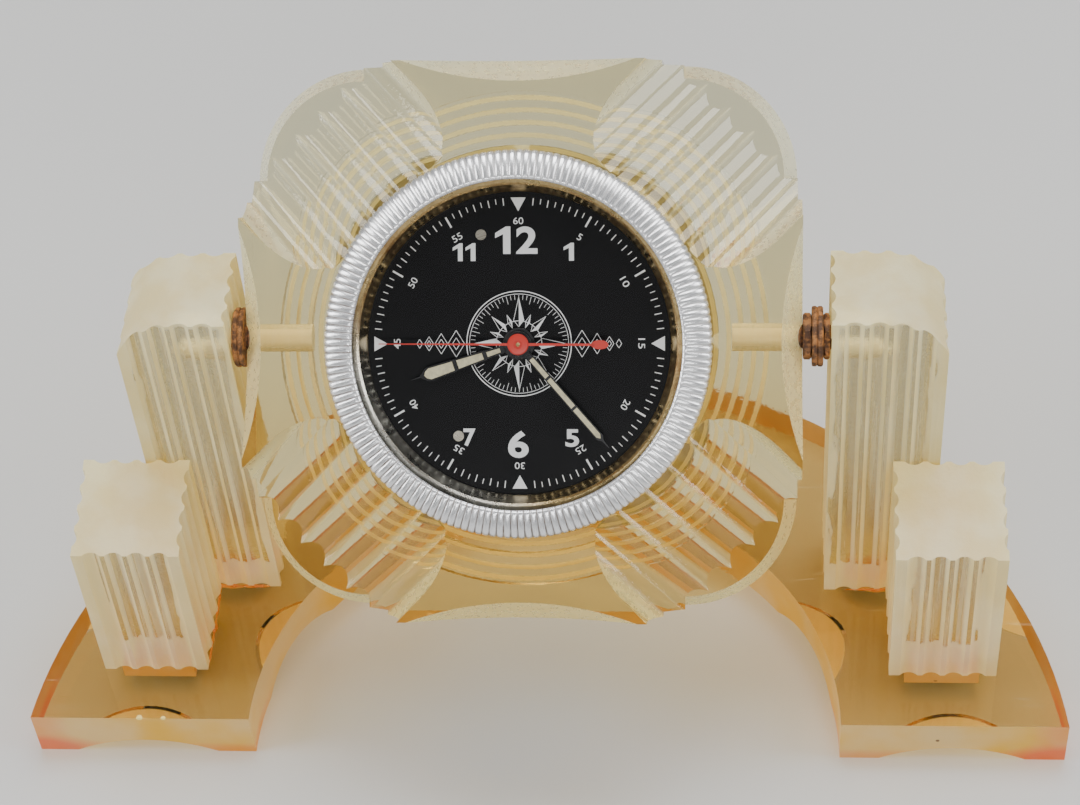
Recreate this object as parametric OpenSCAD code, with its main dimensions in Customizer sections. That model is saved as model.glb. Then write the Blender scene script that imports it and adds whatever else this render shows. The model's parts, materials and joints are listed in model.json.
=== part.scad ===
// Desk clock: a clear acrylic head with a knurled clock insert, tilting between fluted posts
// on a horseshoe base. X runs to the right, Y to the back and Z up. The origin is the middle
// of the whole clock's rectangle, on the underside of the base.

/* [Base] */
// Width of the base slab across its two wings
base_w = 200; // [180:1:230]
// Depth of the base slab from the wings' front edge to the back of the arc
base_depth = 90; // [84:1:96]
// Thickness of the base slab
base_t = 11.2; // [9:0.2:16]
// Radius of the notch between the two wings
notch_r = 57; // [54:0.5:60]
// Width of the thumb scoops ground into the slab's lower edges
scoop_w = 28; // [16:1:34]
// Height of a scoop on the edge it is ground into
scoop_rise = 3.7; // [1:0.1:6]
// Reach of a scoop under the slab
scoop_run = 7.4; // [3:0.1:10]

/* [Posts] */
// Width of a tall post
tall_w = 20.8; // [17:0.2:24]
// Depth of a tall post
tall_d = 18.2; // [15:0.2:22]
// Height of a tall post above the slab
tall_h = 78; // [74:0.5:90]
// Drop of a tall post's rounded shoulder at its outer edge
shoulder_drop = 7.6; // [3:0.2:10]
// Width of the flat part of a tall post's top
shoulder_flat = 9.4; // [5:0.2:12]
// Width of a short post
short_w = 20.5; // [17:0.5:22]
// Depth of a short post
short_d = 20.3; // [16:0.1:20.5]
// Height of a short post at its front edge
short_front_h = 36.7; // [25:0.1:50]
// Height of a short post at its back edge
short_back_h = 40.3; // [25:0.1:50]
// Distance from the end of a wing to the outer face of a short post
short_margin = 13.1; // [9.5:0.1:15.5]
// Distance from the wings' front edge to the front of a tall post
tall_y = 32; // [31.6:0.1:33]
// Gap between a short post and the tall post behind it
post_play = 0.1; // [0.05:0.05:0.5]
// Spacing of the flutes around the posts
flute_pitch = 4.3; // [3.6:0.1:6]
// Width of one flute
flute_w = 3.4; // [2:0.1:3.5]
// Depth of one flute
flute_depth = 0.75; // [0.3:0.05:1]
// Diameter of the round tenon under a tall post
tenon_d = 14; // [8:0.5:14.5]
// Width of the square tenon under a short post
tenon_w = 14; // [8:0.5:15]
// Depth of the tenons in the slab
tenon_h = 6; // [3:0.5:7]
// Gap around a tenon, filled with cement
cement_gap = 0.15; // [0.1:0.05:0.3]

/* [Head] */
// Angle of the clock face above the horizon at rest
face_elev = 45; // [35:1:60]
// Height of the tilt axis above the slab
pivot_h = 68.2; // [64:0.2:70]
// Distance from the wings' front edge to the tilt axis
pivot_y = 38.25; // [37.5:0.05:42]
// Drop of the block's middle below the tilt axis, so that the head hangs steady
head_drop = 0.8; // [0:0.1:1.5]
// Half width of the head block across its side tabs
tab_reach = 50.6; // [48:0.1:54]
// Half width of one side tab
tab_half = 25.4; // [22:0.2:27]
// Height of the tabs above the sides of the rounded square behind them
tab_step = 0.8; // [0.4:0.1:2]
// Corner radius of the rounded square
plate_corner = 20.5; // [17:0.5:22]
// Thickness of the head block
block_t = 22; // [20:0.5:26]
// Depth of the corner ledges below the front of the block
ledge_drop = 12.5; // [10:0.5:13.5]
// Distance from the tilt axis to the front of the block
front_reach = 8; // [7:0.1:9]
// Number of round-ended flutes side by side in each corner
fan_count = 5; // [3:2:5]
// Spacing of the corner flutes
fan_pitch = 6; // [5.2:0.1:6]
// Radius of the cutter that made the corner flutes
fan_cutter_r = 4.4; // [3.6:0.1:8]
// Radius of the cove on each side of a corner's flutes
cove_r = 6.3; // [5.6:0.1:7.5]
// Depth of the corner flutes where they leave the bezel
fan_start = 0.5; // [0.3:0.1:1]
// Margin between the flutes' round ends and the edge of a corner
fan_margin = 2.7; // [2.6:0.1:5]
// Width of the bevel around a corner ledge
ledge_bevel = 2.4; // [0.5:0.1:2.5]
// Height of the bevel around a corner ledge
bevel_h = 5.5; // [4:0.5:8]
// Width of the scoops on the tabs' front edges
tab_scoop_w = 42; // [32:1:51]
// Bow of a tab scoop on the front of the block
tab_scoop_run = 3.8; // [1:0.1:5]
// Height of a tab scoop on the side of the block
tab_scoop_rise = 7; // [3:0.5:8]
// Wall left beside the stepped recess at the back of the block
recess_wall = 5.1; // [4:0.1:7]
// Radius of the recess's innermost step
recess_inner_r = 36; // [35:0.5:38]
// Number of steps in the recess
recess_steps = 4; // [2:1:6]
// Depth of the recess
recess_depth = 9.6; // [6:0.2:10]

/* [Tilt pivots] */
// Diameter of the holes drilled for the studs
stud_hole_d = 5; // [4:0.1:6]
// Radial clearance of a stud in its hole
stud_play = 0.05; // [0.02:0.01:0.1]
// Gap between a stud's end and the bottom of its hole
stud_end_play = 0.35; // [0.1:0.05:0.8]
// Depth of a stud's hole in the head
head_hole = 12.6; // [10:0.1:13]
// Depth of a stud's hole in a post
post_hole = 9; // [6:0.5:14]
// Outer diameter of the washers
washer_d = 11; // [8:0.2:13]
// Thickness of a washer
washer_t = 1; // [0.6:0.05:1]
// Width of the nuts across their flats
nut_af = 8; // [7:0.1:9]
// Thickness of the nut against the head
nut_t = 1.5; // [0.8:0.1:1.8]
// Thickness of the nut against the right post
lock_nut_t = 1.1; // [0.6:0.1:1.4]
// Gap left between two neighbours on a stud
stack_play = 0.1; // [0.05:0.01:0.12]
// Gap between the last washer or nut and its post
post_side_play = 0.19; // [0.1:0.01:0.3]

/* [Clock insert] */
// Radius of the insert's case
case_r = 32.6; // [31.8:0.1:33]
// Wall of the case
case_wall = 0.8; // [0.6:0.1:1]
// Depth of the case behind its flange
case_depth = 20; // [19.4:0.2:22]
// Thickness of the case's flange
flange_t = 0.8; // [0.5:0.1:1.2]
// Radius of the knurled bezel
bezel_r = 34.6; // [34.2:0.1:36]
// Radius of the opening in the bezel
bezel_open_r = 29.4; // [28.4:0.1:29.8]
// Height of the bezel above the flange
bezel_h = 5.6; // [5.4:0.1:7]
// Height of the bezel's slope
bezel_slope = 2; // [1:0.1:2.4]
// Number of ribs on the bezel's edge
bezel_ribs = 150; // [90:2:180]
// Depth of the ribs on the bezel's edge
rib_depth = 0.35; // [0.1:0.05:0.6]
// Inner radius of the brass ring at the crystal
reflector_r = 27.4; // [26.6:0.1:28]
// Thickness of the crystal
crystal_t = 1.2; // [0.8:0.1:1.5]
// Thickness of the dial
dial_t = 0.6; // [0.4:0.1:0.8]
// Height of the threaded ring at the back of the case
clamp_h = 2.4; // [1.5:0.1:3]
// Radial gap between pieces that drop into each other
seat_play = 0.2; // [0.1:0.05:0.3]

/* [Hands] */
// Length of the minute hand from the centre
minute_len = 24.6; // [18:0.2:25]
// Length of the hour hand from the centre
hour_len = 20.6; // [12:0.2:22]
// Length of the seconds hand from the centre
seconds_len = 25; // [18:0.2:25.4]
// Width of the hour and minute hands
hand_w = 1.7; // [1:0.1:2.5]
// Thickness of the hands
hand_t = 0.25; // [0.2:0.05:0.4]
// Dial angle of the minute hand at rest, clockwise from twelve
minute_at = 139; // [0:1:359]
// Dial angle of the hour hand at rest
hour_at = 251.5; // [0:0.5:359.5]
// Dial angle of the seconds hand at rest
seconds_at = 270; // [0:1:359]

/* [Movement] */
// Thickness of the gears
gear_t = 0.7; // [0.5:0.05:0.8]
// Gap between two layers of gears
layer_gap = 0.6; // [0.4:0.05:0.7]
// Thickness of the movement's plates
plate_t = 1.6; // [1.2:0.1:2]
// Radius of the arbors' pivots
arbor_r = 0.5; // [0.4:0.05:0.6]
// Running clearance of arbors and pipes
run_play = 0.05; // [0.02:0.01:0.08]
// Distance from the centre to the minute wheel
motion_dist = 7.2; // [7.2:0.05:7.6]
// Distance from the centre to the third wheel
third_dist = 8.5; // [8.5:0.05:9]
// Distance from the centre to the idler wheel
idler_dist = 8.4; // [8.4:0.05:8.9]
// Distance from the idler wheel to the rotor
rotor_dist = 7.2; // [7:0.05:7.6]
// Diameter of the button cell
cell_d = 11.6; // [9.5:0.1:12]
// Height of the button cell
cell_h = 3.1; // [2.1:0.1:3.2]
// Diameter of the setting knob
knob_d = 9; // [6:0.5:11]
// Height of the setting knob
knob_h = 4.5; // [3:0.5:8]
// Length of the coil's winding
coil_len = 11; // [9:0.5:11]
// Radius of the coil's winding
coil_r = 2.4; // [1.8:0.1:2.5]
// Thickness of the bobbin's end discs
bobbin_t = 1; // [0.6:0.1:1]
// Side of the chip on the circuit board
chip_w = 5; // [4:0.5:7]
// Thickness of the circuit board
board_t = 0.8; // [0.5:0.1:0.9]
// Thickness of the spring strip at the cell
strip_t = 0.3; // [0.2:0.05:0.4]
// Width of the spring strip at the cell
strip_w = 2.4; // [1.6:0.2:4]
// Thickness of the stamped core
core_t = 0.8; // [0.5:0.1:0.9]

/* [Hidden] */
$fn = 96;
eps = 0.01;
far = 300;
seat = 0.02;

// The head's plan, and its corner flutes. Their ridges run out into the corner ledges
plate_half = tab_reach - tab_step;
corner_at = plate_half - plate_corner;
fan_w = fan_count * fan_pitch;
fan_begin = bezel_r - 1.6;
fan_reach = corner_at * sqrt(2) + plate_corner - fan_margin - fan_pitch / 2;
ridge_h = fan_cutter_r - sqrt(pow(fan_cutter_r, 2) - pow(fan_pitch / 2, 2));
fan_slope = atan((ledge_drop - fan_start + ridge_h) / (fan_reach - fan_begin));
recess_r = tab_reach - recess_wall;

// The gaps on both sides of the head, each as wide as what is stacked in it
pair_t = 2 * washer_t + eps;
left_gap = stack_play + pair_t + post_side_play;
right_gap = 3 * stack_play + nut_t + pair_t + lock_nut_t + post_side_play;
head_shift = (right_gap - left_gap) / 2;

// Where the base and the posts stand. The corners of the lower tab overhang the base's front
tab_corner = tab_reach - (fan_w / 2 + cove_r * 3 / 4) * sqrt(2);
nose_run = scoop_run_at(tab_corner, tab_scoop_w, tab_scoop_rise, tab_scoop_run);
nose = (tab_reach + head_drop - nose_run) * sin(face_elev) + front_reach * cos(face_elev);
overhang = max(0, nose - pivot_y);
front_y = -(base_depth - overhang) / 2;
outer_r = base_depth + (pow(base_w / 2, 2) - pow(base_depth, 2)) / (2 * base_depth);
outer_y = front_y + base_depth - outer_r;
tall_x = tab_reach + (left_gap + right_gap) / 2;
short_x = base_w / 2 - short_margin - short_w;
tall_front = front_y + tall_y;
short_front = tall_front - post_play - short_d;
tenon_y = short_front + flute_depth + 0.2 + tenon_w / 2;
wing_x = (base_w / 2 + notch_r) / 2;

// The tilt axis, and the head around it
axis_y = front_y + pivot_y;
axis_z = base_t + pivot_h;
back_w = front_reach - block_t;
ledge_w = front_reach - ledge_drop;
recess_w = back_w + recess_depth;
case_hole_r = case_r + seat_play;

// The insert's levels, counted out of the face from the tilt axis
flange_top = front_reach + flange_t;
bezel_top = flange_top + bezel_h;
crystal_top = bezel_top - 1.2;
crystal_low = crystal_top - crystal_t;
dial_top = front_reach;
dial_low = dial_top - dial_t;
plate_low = dial_low - plate_t;
case_low = flange_top - flange_t - case_depth;
case_in_r = case_r - case_wall;
drum_r = case_in_r - seat_play;
drum_wall = 1.4;
rotor_h = 1.7;
magnet_r = 2;
rotor_top = layer_low(5) - 0.5;
cover_top = rotor_top - rotor_h - 0.5;
cover_low = cover_top - 1.2;
case_floor = case_low + case_wall;

// Tooth counts, from the motor to the hands
Z_ROTOR = 8;
Z_IDLER = 40;
Z_IDLER_PINION = 8;
Z_SECONDS = 48;
Z_SECONDS_PINION = 8;
Z_THIRD = 60;
Z_THIRD_PINION = 8;
Z_CENTRE = 64;
Z_CANNON = 12;
Z_MINUTE = 36;
Z_MINUTE_PINION = 10;
Z_HOUR = 40;
Z_SETTING = 12;

// Turn of a bevel's cutter, which keeps its seam off the plate's own edges
BEVEL_TURN = 1;

// Directions of the arbors seen from the front
MOTION_DIR = 90;
THIRD_DIR = 210;
IDLER_DIR = 330;

m_motion = 2 * motion_dist / (Z_CANNON + Z_MINUTE);
m_hour = 2 * motion_dist / (Z_MINUTE_PINION + Z_HOUR);
m_centre = 2 * third_dist / (Z_THIRD_PINION + Z_CENTRE);
m_third = 2 * third_dist / (Z_SECONDS_PINION + Z_THIRD);
m_seconds = 2 * idler_dist / (Z_IDLER_PINION + Z_SECONDS);
m_rotor = 2 * rotor_dist / (Z_ROTOR + Z_IDLER);

minute_pos = polar(motion_dist, MOTION_DIR);
setting_pos = polar(2 * motion_dist, MOTION_DIR);
third_pos = polar(third_dist, THIRD_DIR);
idler_pos = polar(idler_dist, IDLER_DIR);
rotor_pos = polar(idler_dist + rotor_dist, IDLER_DIR);
cell_pos = polar(20, THIRD_DIR);
coil_pos = polar(24.5, IDLER_DIR);
hatch_r = cell_d / 2 + 1.2;
cell_low = case_floor + 0.1;

// Radii of the pipes around the centre arbor
seconds_r = 0.8;
cannon_in_r = seconds_r + run_play;
cannon_r = 1.5;
clutch_play = 0.02;
hour_in_r = cannon_r + run_play;
hour_r = 2.1;
centre_hole_r = hour_r + run_play;

// Levels of the hands
hour_hand_w = dial_top + 0.7;
minute_hand_w = hour_hand_w + 0.8;
seconds_hand_w = minute_hand_w + 0.8;

function polar(r, a) = [r * cos(a), r * sin(a)];
function layer_top(i) = plate_low - 0.4 - i * (gear_t + layer_gap);
function layer_low(i) = layer_top(i) - gear_t;
function sagitta_r(chord, rise) = (pow(chord / 2, 2) + pow(rise, 2)) / (2 * rise);

// Depth of an edge scoop square to its slant, at the middle
function scoop_depth(rise, run) = rise * run / norm([rise, run]);

// What an edge scoop takes off the face at this distance from its middle
function scoop_run_at(x, chord, rise, run) =
    let (r = sagitta_r(chord, scoop_depth(rise, run)))
    max(0, scoop_depth(rise, run) - r + sqrt(r * r - x * x)) * norm([rise, run]) / rise;

// Turn of a gear that puts its gap on a tooth of the gear it meshes with: the first gear's
// own turn, both tooth counts, and the direction from the first gear to the second
function mesh_turn(turn, z_a, z_b, dir) =
    dir + 180 + 360 / z_b * (0.5 - (turn - dir) / (360 / z_a));

// Four points of one tooth for each tooth, narrowed for backlash
function gear_outline(z, m) = [
    for (i = [0 : z - 1])
        for (p = [[z / 2 - 1.05, -0.30], [z / 2 + 0.7, -0.11], [z / 2 + 0.7, 0.11], [z / 2 - 1.05, 0.30]])
            polar(p[0] * m, 360 / z * (i + p[1]))
];

// Places its children on the tilt axis: Z comes out of the clock's face, Y goes up the face
module on_axis() {
    translate([-head_shift, axis_y, axis_z]) rotate([90 - face_elev, 0, 0]) children();
}

// Places its children around the middle of the head
module in_head() {
    on_axis() translate([0, -head_drop, 0]) children();
}

module disc(r, low, top) {
    translate([0, 0, low]) cylinder(r = r, h = top - low);
}

module at(pos) {
    translate([pos[0], pos[1], 0]) children();
}

// A round cutter sunk across an edge. The edge runs along X at the origin, the wall faces -Y
// and the other face looks down
module edge_scoop(chord, rise, run) {
    slant = norm([rise, run]);
    r = sagitta_r(chord, scoop_depth(rise, run));
    translate([0, -r * rise / slant, rise - r * run / slant])
        rotate([atan2(run, rise), 0, 0]) cylinder(r = r, h = 60, center = true);
}

// Plan of a post with flutes along all four sides
module fluted_plan(w, d) {
    r = sagitta_r(flute_w, flute_depth);
    difference() {
        square([w, d]);
        for (side = [[w, 0, 0], [w, d, 0], [d, 0, 90], [d, w, 90]]) {
            n = floor((side[0] - 1) / flute_pitch);
            first = (side[0] - (n - 1) * flute_pitch) / 2;
            out = side[1] == 0 ? flute_depth - r : side[1] - flute_depth + r;
            for (i = [0 : n - 1]) {
                along = first + i * flute_pitch;
                translate(side[2] == 0 ? [along, out] : [out, along]) circle(r, $fn = 48);
            }
        }
    }
}

module base_outline() {
    difference() {
        intersection() {
            translate([0, outer_y]) circle(outer_r, $fn = 180);
            translate([-far / 2, front_y]) square([far, far]);
        }
        translate([0, front_y]) circle(notch_r, $fn = 180);
    }
}

module base_slab() {
    color([0.86, 0.78, 0.52, 0.55]) difference() {
        linear_extrude(base_t) base_outline();
        for (side = [-1, 1]) {
            translate([side * wing_x, front_y, 0]) edge_scoop(scoop_w, scoop_rise, scoop_run);
            translate([0, front_y, 0]) rotate(side * 65) translate([0, notch_r, 0])
                edge_scoop(scoop_w * 0.8, scoop_rise, scoop_run);
            translate([0, outer_y, 0]) rotate(side * 118) translate([0, -outer_r, 0])
                edge_scoop(scoop_w, scoop_rise, scoop_run);
            mortise(side);
        }
    }
}

// Sockets in the slab for the tenons of one wing's two posts
module mortise(side) {
    translate([side * (tall_x + tall_w / 2), tall_front + tall_d / 2, base_t - tenon_h])
        cylinder(d = tenon_d + 2 * cement_gap, h = tenon_h + 1);
    translate([side * (short_x + short_w / 2), tenon_y, base_t + 0.5 - tenon_h / 2])
        cube([tenon_w + 2 * cement_gap, tenon_w + 2 * cement_gap, tenon_h + 1], center = true);
}

// A right-hand tall post, with its inner face at X = 0 and its front at Y = 0
module tall_post() {
    drop_run = tall_w - shoulder_flat;
    r = sagitta_r(2 * drop_run, shoulder_drop);
    hole_y = pivot_y - tall_y;
    difference() {
        union() {
            intersection() {
                linear_extrude(tall_h) fluted_plan(tall_w, tall_d);
                translate([0, tall_d + 1, 0]) rotate([90, 0, 0]) linear_extrude(tall_d + 2) union() {
                    square([tall_w + 1, tall_h - shoulder_drop - 1]);
                    square([shoulder_flat, tall_h]);
                    intersection() {
                        translate([shoulder_flat, tall_h - r]) circle(r);
                        square([tall_w + 1, tall_h]);
                    }
                }
            }
            translate([tall_w / 2, tall_d / 2, cement_gap - tenon_h])
                cylinder(d = tenon_d, h = tenon_h - cement_gap + 1);
        }
        translate([-1, hole_y, pivot_h]) rotate([0, 90, 0]) cylinder(d = stud_hole_d, h = post_hole + 1);
        translate([post_hole - eps, hole_y, pivot_h]) rotate([0, 90, 0])
            cylinder(d1 = stud_hole_d, d2 = 0.2, h = stud_hole_d / 2);
    }
}

// A right-hand short post, with its inner face at X = 0 and its front at Y = 0
module short_post() {
    intersection() {
        linear_extrude(short_back_h + 1) fluted_plan(short_w, short_d);
        rotate([90, 0, 90]) linear_extrude(short_w) polygon([
            [0, 0], [short_d, 0], [short_d, short_back_h], [0, short_front_h]
        ]);
    }
    translate([short_w / 2 - tenon_w / 2, tenon_y - short_front - tenon_w / 2, cement_gap - tenon_h])
        cube([tenon_w, tenon_w, tenon_h - cement_gap + 1]);
}

module tall_post_right() {
    color([0.9, 0.87, 0.74, 0.9]) translate([tall_x, tall_front, base_t]) tall_post();
}

module tall_post_left() {
    mirror([1, 0, 0]) tall_post_right();
}

module short_post_right() {
    color([0.9, 0.87, 0.74, 0.9]) translate([short_x, short_front, base_t]) short_post();
}

module short_post_left() {
    mirror([1, 0, 0]) short_post_right();
}

// The amber cement left in the bottom of each mortise
module post_cement() {
    t = cement_gap - seat;
    color([0.9, 0.6, 0.15, 0.8]) for (side = [-1, 1]) {
        translate([side * (tall_x + tall_w / 2), tall_front + tall_d / 2, base_t - tenon_h])
            cylinder(d = tenon_d, h = t);
        translate([side * (short_x + short_w / 2), tenon_y, base_t - tenon_h + t / 2])
            cube([tenon_w, tenon_w, t], center = true);
    }
}

module block_outline() {
    square([2 * plate_half, 2 * corner_at], center = true);
    square([2 * corner_at, 2 * plate_half], center = true);
    for (x = [-1, 1]) for (y = [-1, 1])
        translate([x, y] * corner_at) circle(plate_corner, $fn = 120);
    square([2 * tab_reach, 2 * tab_half], center = true);
    square([2 * tab_half, 2 * tab_reach], center = true);
}

// Section of one corner's cut, square to the flutes: the floor, and with coves, its sides too
module fan_section(with_coves) {
    half = (fan_count - 1) / 2;
    cove_y = cove_r + ridge_h * 3 / 4;
    for (i = [-half : half]) translate([i * fan_pitch, fan_cutter_r]) circle(fan_cutter_r, $fn = 48);
    translate([-fan_w / 2, fan_cutter_r]) square([fan_w, far]);
    if (with_coves) for (side = [-1, 1]) {
        translate([side * (fan_w / 2 - cove_r / 4), cove_y]) circle(cove_r, $fn = 64);
        translate([side * (fan_w / 2 + cove_r * 3 / 8), far / 2 + cove_y])
            square([cove_r * 3 / 4, far], center = true);
    }
}

// The section, run outwards along +X and down the slope from under the bezel's edge
module fan_run(with_coves) {
    translate([fan_begin, 0, front_reach - fan_start]) rotate([0, fan_slope, 0])
        rotate([90, 0, 90]) linear_extrude(far) fan_section(with_coves);
}

// Cuts one corner of the block, along +X: flutes that run down to a flat ledge with a bevel
module corner_fan() {
    intersection() {
        fan_run(true);
        translate([0, -far / 2, ledge_w]) cube([far, far, far]);
    }
    intersection() {
        fan_run(false);
        linear_extrude(far, center = true) fan_slots();
    }
    translate([corner_at * sqrt(2), 0, 0]) intersection() {
        rotate(BEVEL_TURN) rotate_extrude() translate([plate_corner, 0]) polygon([
            [1, ledge_w - bevel_h - bevel_h / ledge_bevel], [1, ledge_w + 1],
            [-ledge_bevel, ledge_w + 1], [-ledge_bevel, ledge_w]
        ]);
        linear_extrude(far, center = true) polygon([[0, 0], polar(far, -45), polar(far, 45)]);
    }
}

// Plan of one corner's flutes, each a slot with a round end
module fan_slots() {
    half = (fan_count - 1) / 2;
    translate([0, -fan_w / 2]) square([fan_reach, fan_w]);
    for (i = [-half : half])
        translate([fan_reach, i * fan_pitch]) circle(fan_pitch / 2, $fn = 48);
}

module head_block() {
    step_w = recess_depth / recess_steps;
    step_r = (recess_r - recess_inner_r) / (recess_steps - 1);
    color([0.9, 0.85, 0.66, 0.5]) in_head() difference() {
        translate([0, 0, back_w]) linear_extrude(block_t) block_outline();
        for (turn = [45 : 90 : 315]) rotate(turn) corner_fan();
        for (turn = [0 : 90 : 270]) rotate(turn) translate([0, -tab_reach, front_reach])
            mirror([0, 0, 1]) edge_scoop(tab_scoop_w, tab_scoop_rise, tab_scoop_run);
        disc(case_hole_r, back_w - 1, front_reach + 1);
        for (i = [0 : recess_steps - 1])
            disc(recess_r - i * step_r, back_w - 1, back_w + (i + 1) * step_w);
        for (side = [-1, 1]) translate([0, head_drop, 0]) rotate([0, side * 90, 0])
            translate([0, 0, tab_reach - head_hole]) cylinder(d = stud_hole_d, h = far);
    }
}

// One stud, from the bottom of its hole in the head to the bottom of its hole in the post
module pivot_stud(side) {
    reach = tall_x + side * head_shift + post_hole - stud_end_play;
    begin = tab_reach - head_hole + stud_end_play;
    color([0.5, 0.33, 0.2]) on_axis() rotate([0, side * 90, 0]) translate([0, 0, begin])
        cylinder(d = stud_hole_d - 2 * stud_play, h = reach - begin);
}

// A ring on a stud, at this distance out from the block's tab
module stud_ring(side, out, t, d, sides = 96) {
    on_axis() rotate([0, side * 90, 0]) translate([0, 0, tab_reach + out]) difference() {
        cylinder(d = d, h = t, $fn = sides);
        translate([0, 0, -1]) cylinder(d = stud_hole_d + 0.1, h = t + 2);
    }
}

module washers_left() {
    color([0.45, 0.24, 0.12]) for (i = [0, 1])
        stud_ring(-1, stack_play + i * (washer_t + eps), washer_t, washer_d);
}

module washers_right() {
    color([0.45, 0.24, 0.12]) for (i = [0, 1])
        stud_ring(1, 2 * stack_play + nut_t + i * (washer_t + eps), washer_t, washer_d);
}

module head_nut() {
    color([0.42, 0.25, 0.15]) stud_ring(1, stack_play, nut_t, nut_af / cos(30), 6);
}

module lock_nut() {
    color([0.42, 0.25, 0.15]) stud_ring(1, 3 * stack_play + nut_t + 2 * washer_t + eps, lock_nut_t,
        nut_af / cos(30), 6);
}

// The insert's case: a flanged can, open at the front, with holes for the knob and the cell
module case_can() {
    color([0.66, 0.66, 0.64]) in_head() difference() {
        union() {
            disc(case_r, case_low, flange_top);
            disc(bezel_r - 0.6, front_reach, flange_top);
        }
        disc(case_in_r, case_floor, flange_top + 1);
        at(setting_pos) disc(1.9, case_low - 1, flange_top);
        at(cell_pos) disc(hatch_r, case_low - 1, flange_top);
    }
}

// The threaded ring that holds the case against the recess's innermost step
module clamp_ring() {
    color([0.6, 0.58, 0.52]) in_head() difference() {
        disc(recess_inner_r - 0.4, recess_w - clamp_h, recess_w - seat);
        disc(case_r + 0.05, recess_w - 2 * clamp_h, recess_w + 1);
        for (turn = [0 : 90 : 270]) rotate(turn) translate([recess_inner_r, 0, recess_w - 3 / 2 * clamp_h])
            cylinder(r = clamp_h * 2 / 3, h = 2 * clamp_h, $fn = 32);
    }
}

module bezel() {
    edge = [for (i = [0 : 2 * bezel_ribs - 1])
        polar(bezel_r - (i % 2) * rib_depth, 180 * i / bezel_ribs)];
    brim = bezel_r - rib_depth - 0.1;
    color([0.8, 0.8, 0.8]) in_head() {
        translate([0, 0, flange_top + seat]) linear_extrude(bezel_h - bezel_slope) difference() {
            polygon(edge);
            circle(case_in_r - 0.9);
        }
        rotate_extrude() polygon([
            [bezel_open_r, crystal_top + 0.03], [case_in_r - 0.9, crystal_top + 0.03],
            [case_in_r - 0.9, bezel_top - bezel_slope], [brim, bezel_top - bezel_slope],
            [brim, bezel_top - bezel_slope + 0.3], [bezel_open_r + 1.2, bezel_top],
            [bezel_open_r + 0.5, bezel_top]
        ]);
    }
}

// The brass ring between the dial and the crystal
module reflector_ring() {
    out = case_in_r - 1.1;
    color([0.72, 0.58, 0.3]) in_head() rotate_extrude() polygon([
        [reflector_r - 0.2, dial_top], [out, dial_top], [out, crystal_low],
        [reflector_r + 1.4, crystal_low], [reflector_r + 1, crystal_low - 0.4],
        [reflector_r - 0.2, dial_top + 0.6]
    ]);
}

module crystal() {
    color([0.9, 0.95, 1, 0.25]) in_head() disc(case_in_r - 1.1, crystal_low, crystal_top);
}

screw_spots = [[-6.7, 19.5], [-11, -16.6]];

module dial() {
    color([0.05, 0.05, 0.06]) in_head() difference() {
        disc(drum_r, dial_low, dial_top);
        disc(centre_hole_r + 0.4, dial_low - 1, dial_top + 1);
        for (spot = screw_spots) at(spot) disc(0.6, dial_low - 1, dial_top + 1);
    }
}

module dial_screws() {
    color([0.7, 0.7, 0.68]) in_head() for (spot = screw_spots) at(spot) difference() {
        union() {
            disc(0.95, dial_top, dial_top + 0.3);
            disc(0.5, dial_low - 1.1, dial_top);
        }
        translate([0, 0, dial_top + 0.4]) rotate(40) cube([3, 0.3, 0.5], center = true);
    }
}

// The movement's front plate: a shallow drum whose floor lies behind the dial
module movement_plate() {
    color([0.16, 0.16, 0.17]) in_head() difference() {
        disc(drum_r, cover_top, dial_low);
        disc(drum_r - drum_wall, cover_top - 1, plate_low);
        disc(centre_hole_r, plate_low - 1, dial_low + 1);
        for (spot = screw_spots) at(spot) disc(0.55, plate_low + 0.3, dial_low + 1);
        for (spot = [third_pos, idler_pos, rotor_pos, setting_pos])
            at(spot) disc(arbor_r + run_play, plate_low - 1, plate_low + 1.2);
    }
    color([0.16, 0.16, 0.17]) in_head() at(minute_pos)
        disc(arbor_r, layer_low(1) - 0.3, plate_low + 1);
}

// The plate that closes the movement at the back, on three feet that stand on the case
module movement_cover() {
    color([0.2, 0.2, 0.22]) in_head() difference() {
        union() {
            disc(drum_r, cover_low, cover_top);
            for (turn = [0, 150, 270]) at(polar(drum_r - 2.5, turn)) disc(1.8, case_floor, cover_top);
        }
        for (spot = [[0, 0], third_pos, idler_pos, rotor_pos])
            at(spot) disc(arbor_r + run_play, cover_low + 0.2, cover_top + 1);
        at(setting_pos) disc(1.2, cover_low - 1, cover_top + 1);
        at(coil_pos) rotate(IDLER_DIR) for (end = [-1, 1])
            translate([0, end * (coil_len / 2 + 2.5), 0]) disc(0.6, cover_low - 1, cover_top + 1);
    }
}

module gear(z, m, turn, low, top, bore = 0) {
    translate([0, 0, low]) linear_extrude(top - low) difference() {
        rotate(turn) polygon(gear_outline(z, m));
        if (bore > 0) circle(bore, $fn = 48);
    }
}

// Turns at which the train is in mesh at rest
third_turn = mesh_turn(0, Z_SECONDS_PINION, Z_THIRD, THIRD_DIR);
centre_turn = mesh_turn(third_turn, Z_THIRD_PINION, Z_CENTRE, THIRD_DIR + 180);
idler_turn = mesh_turn(0, Z_SECONDS, Z_IDLER_PINION, IDLER_DIR);
rotor_turn = mesh_turn(idler_turn, Z_IDLER, Z_ROTOR, IDLER_DIR);
minute_turn = mesh_turn(0, Z_CANNON, Z_MINUTE, MOTION_DIR);
hour_turn = mesh_turn(minute_turn, Z_MINUTE_PINION, Z_HOUR, MOTION_DIR + 180);
setting_turn = mesh_turn(minute_turn, Z_MINUTE, Z_SETTING, MOTION_DIR);

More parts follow.
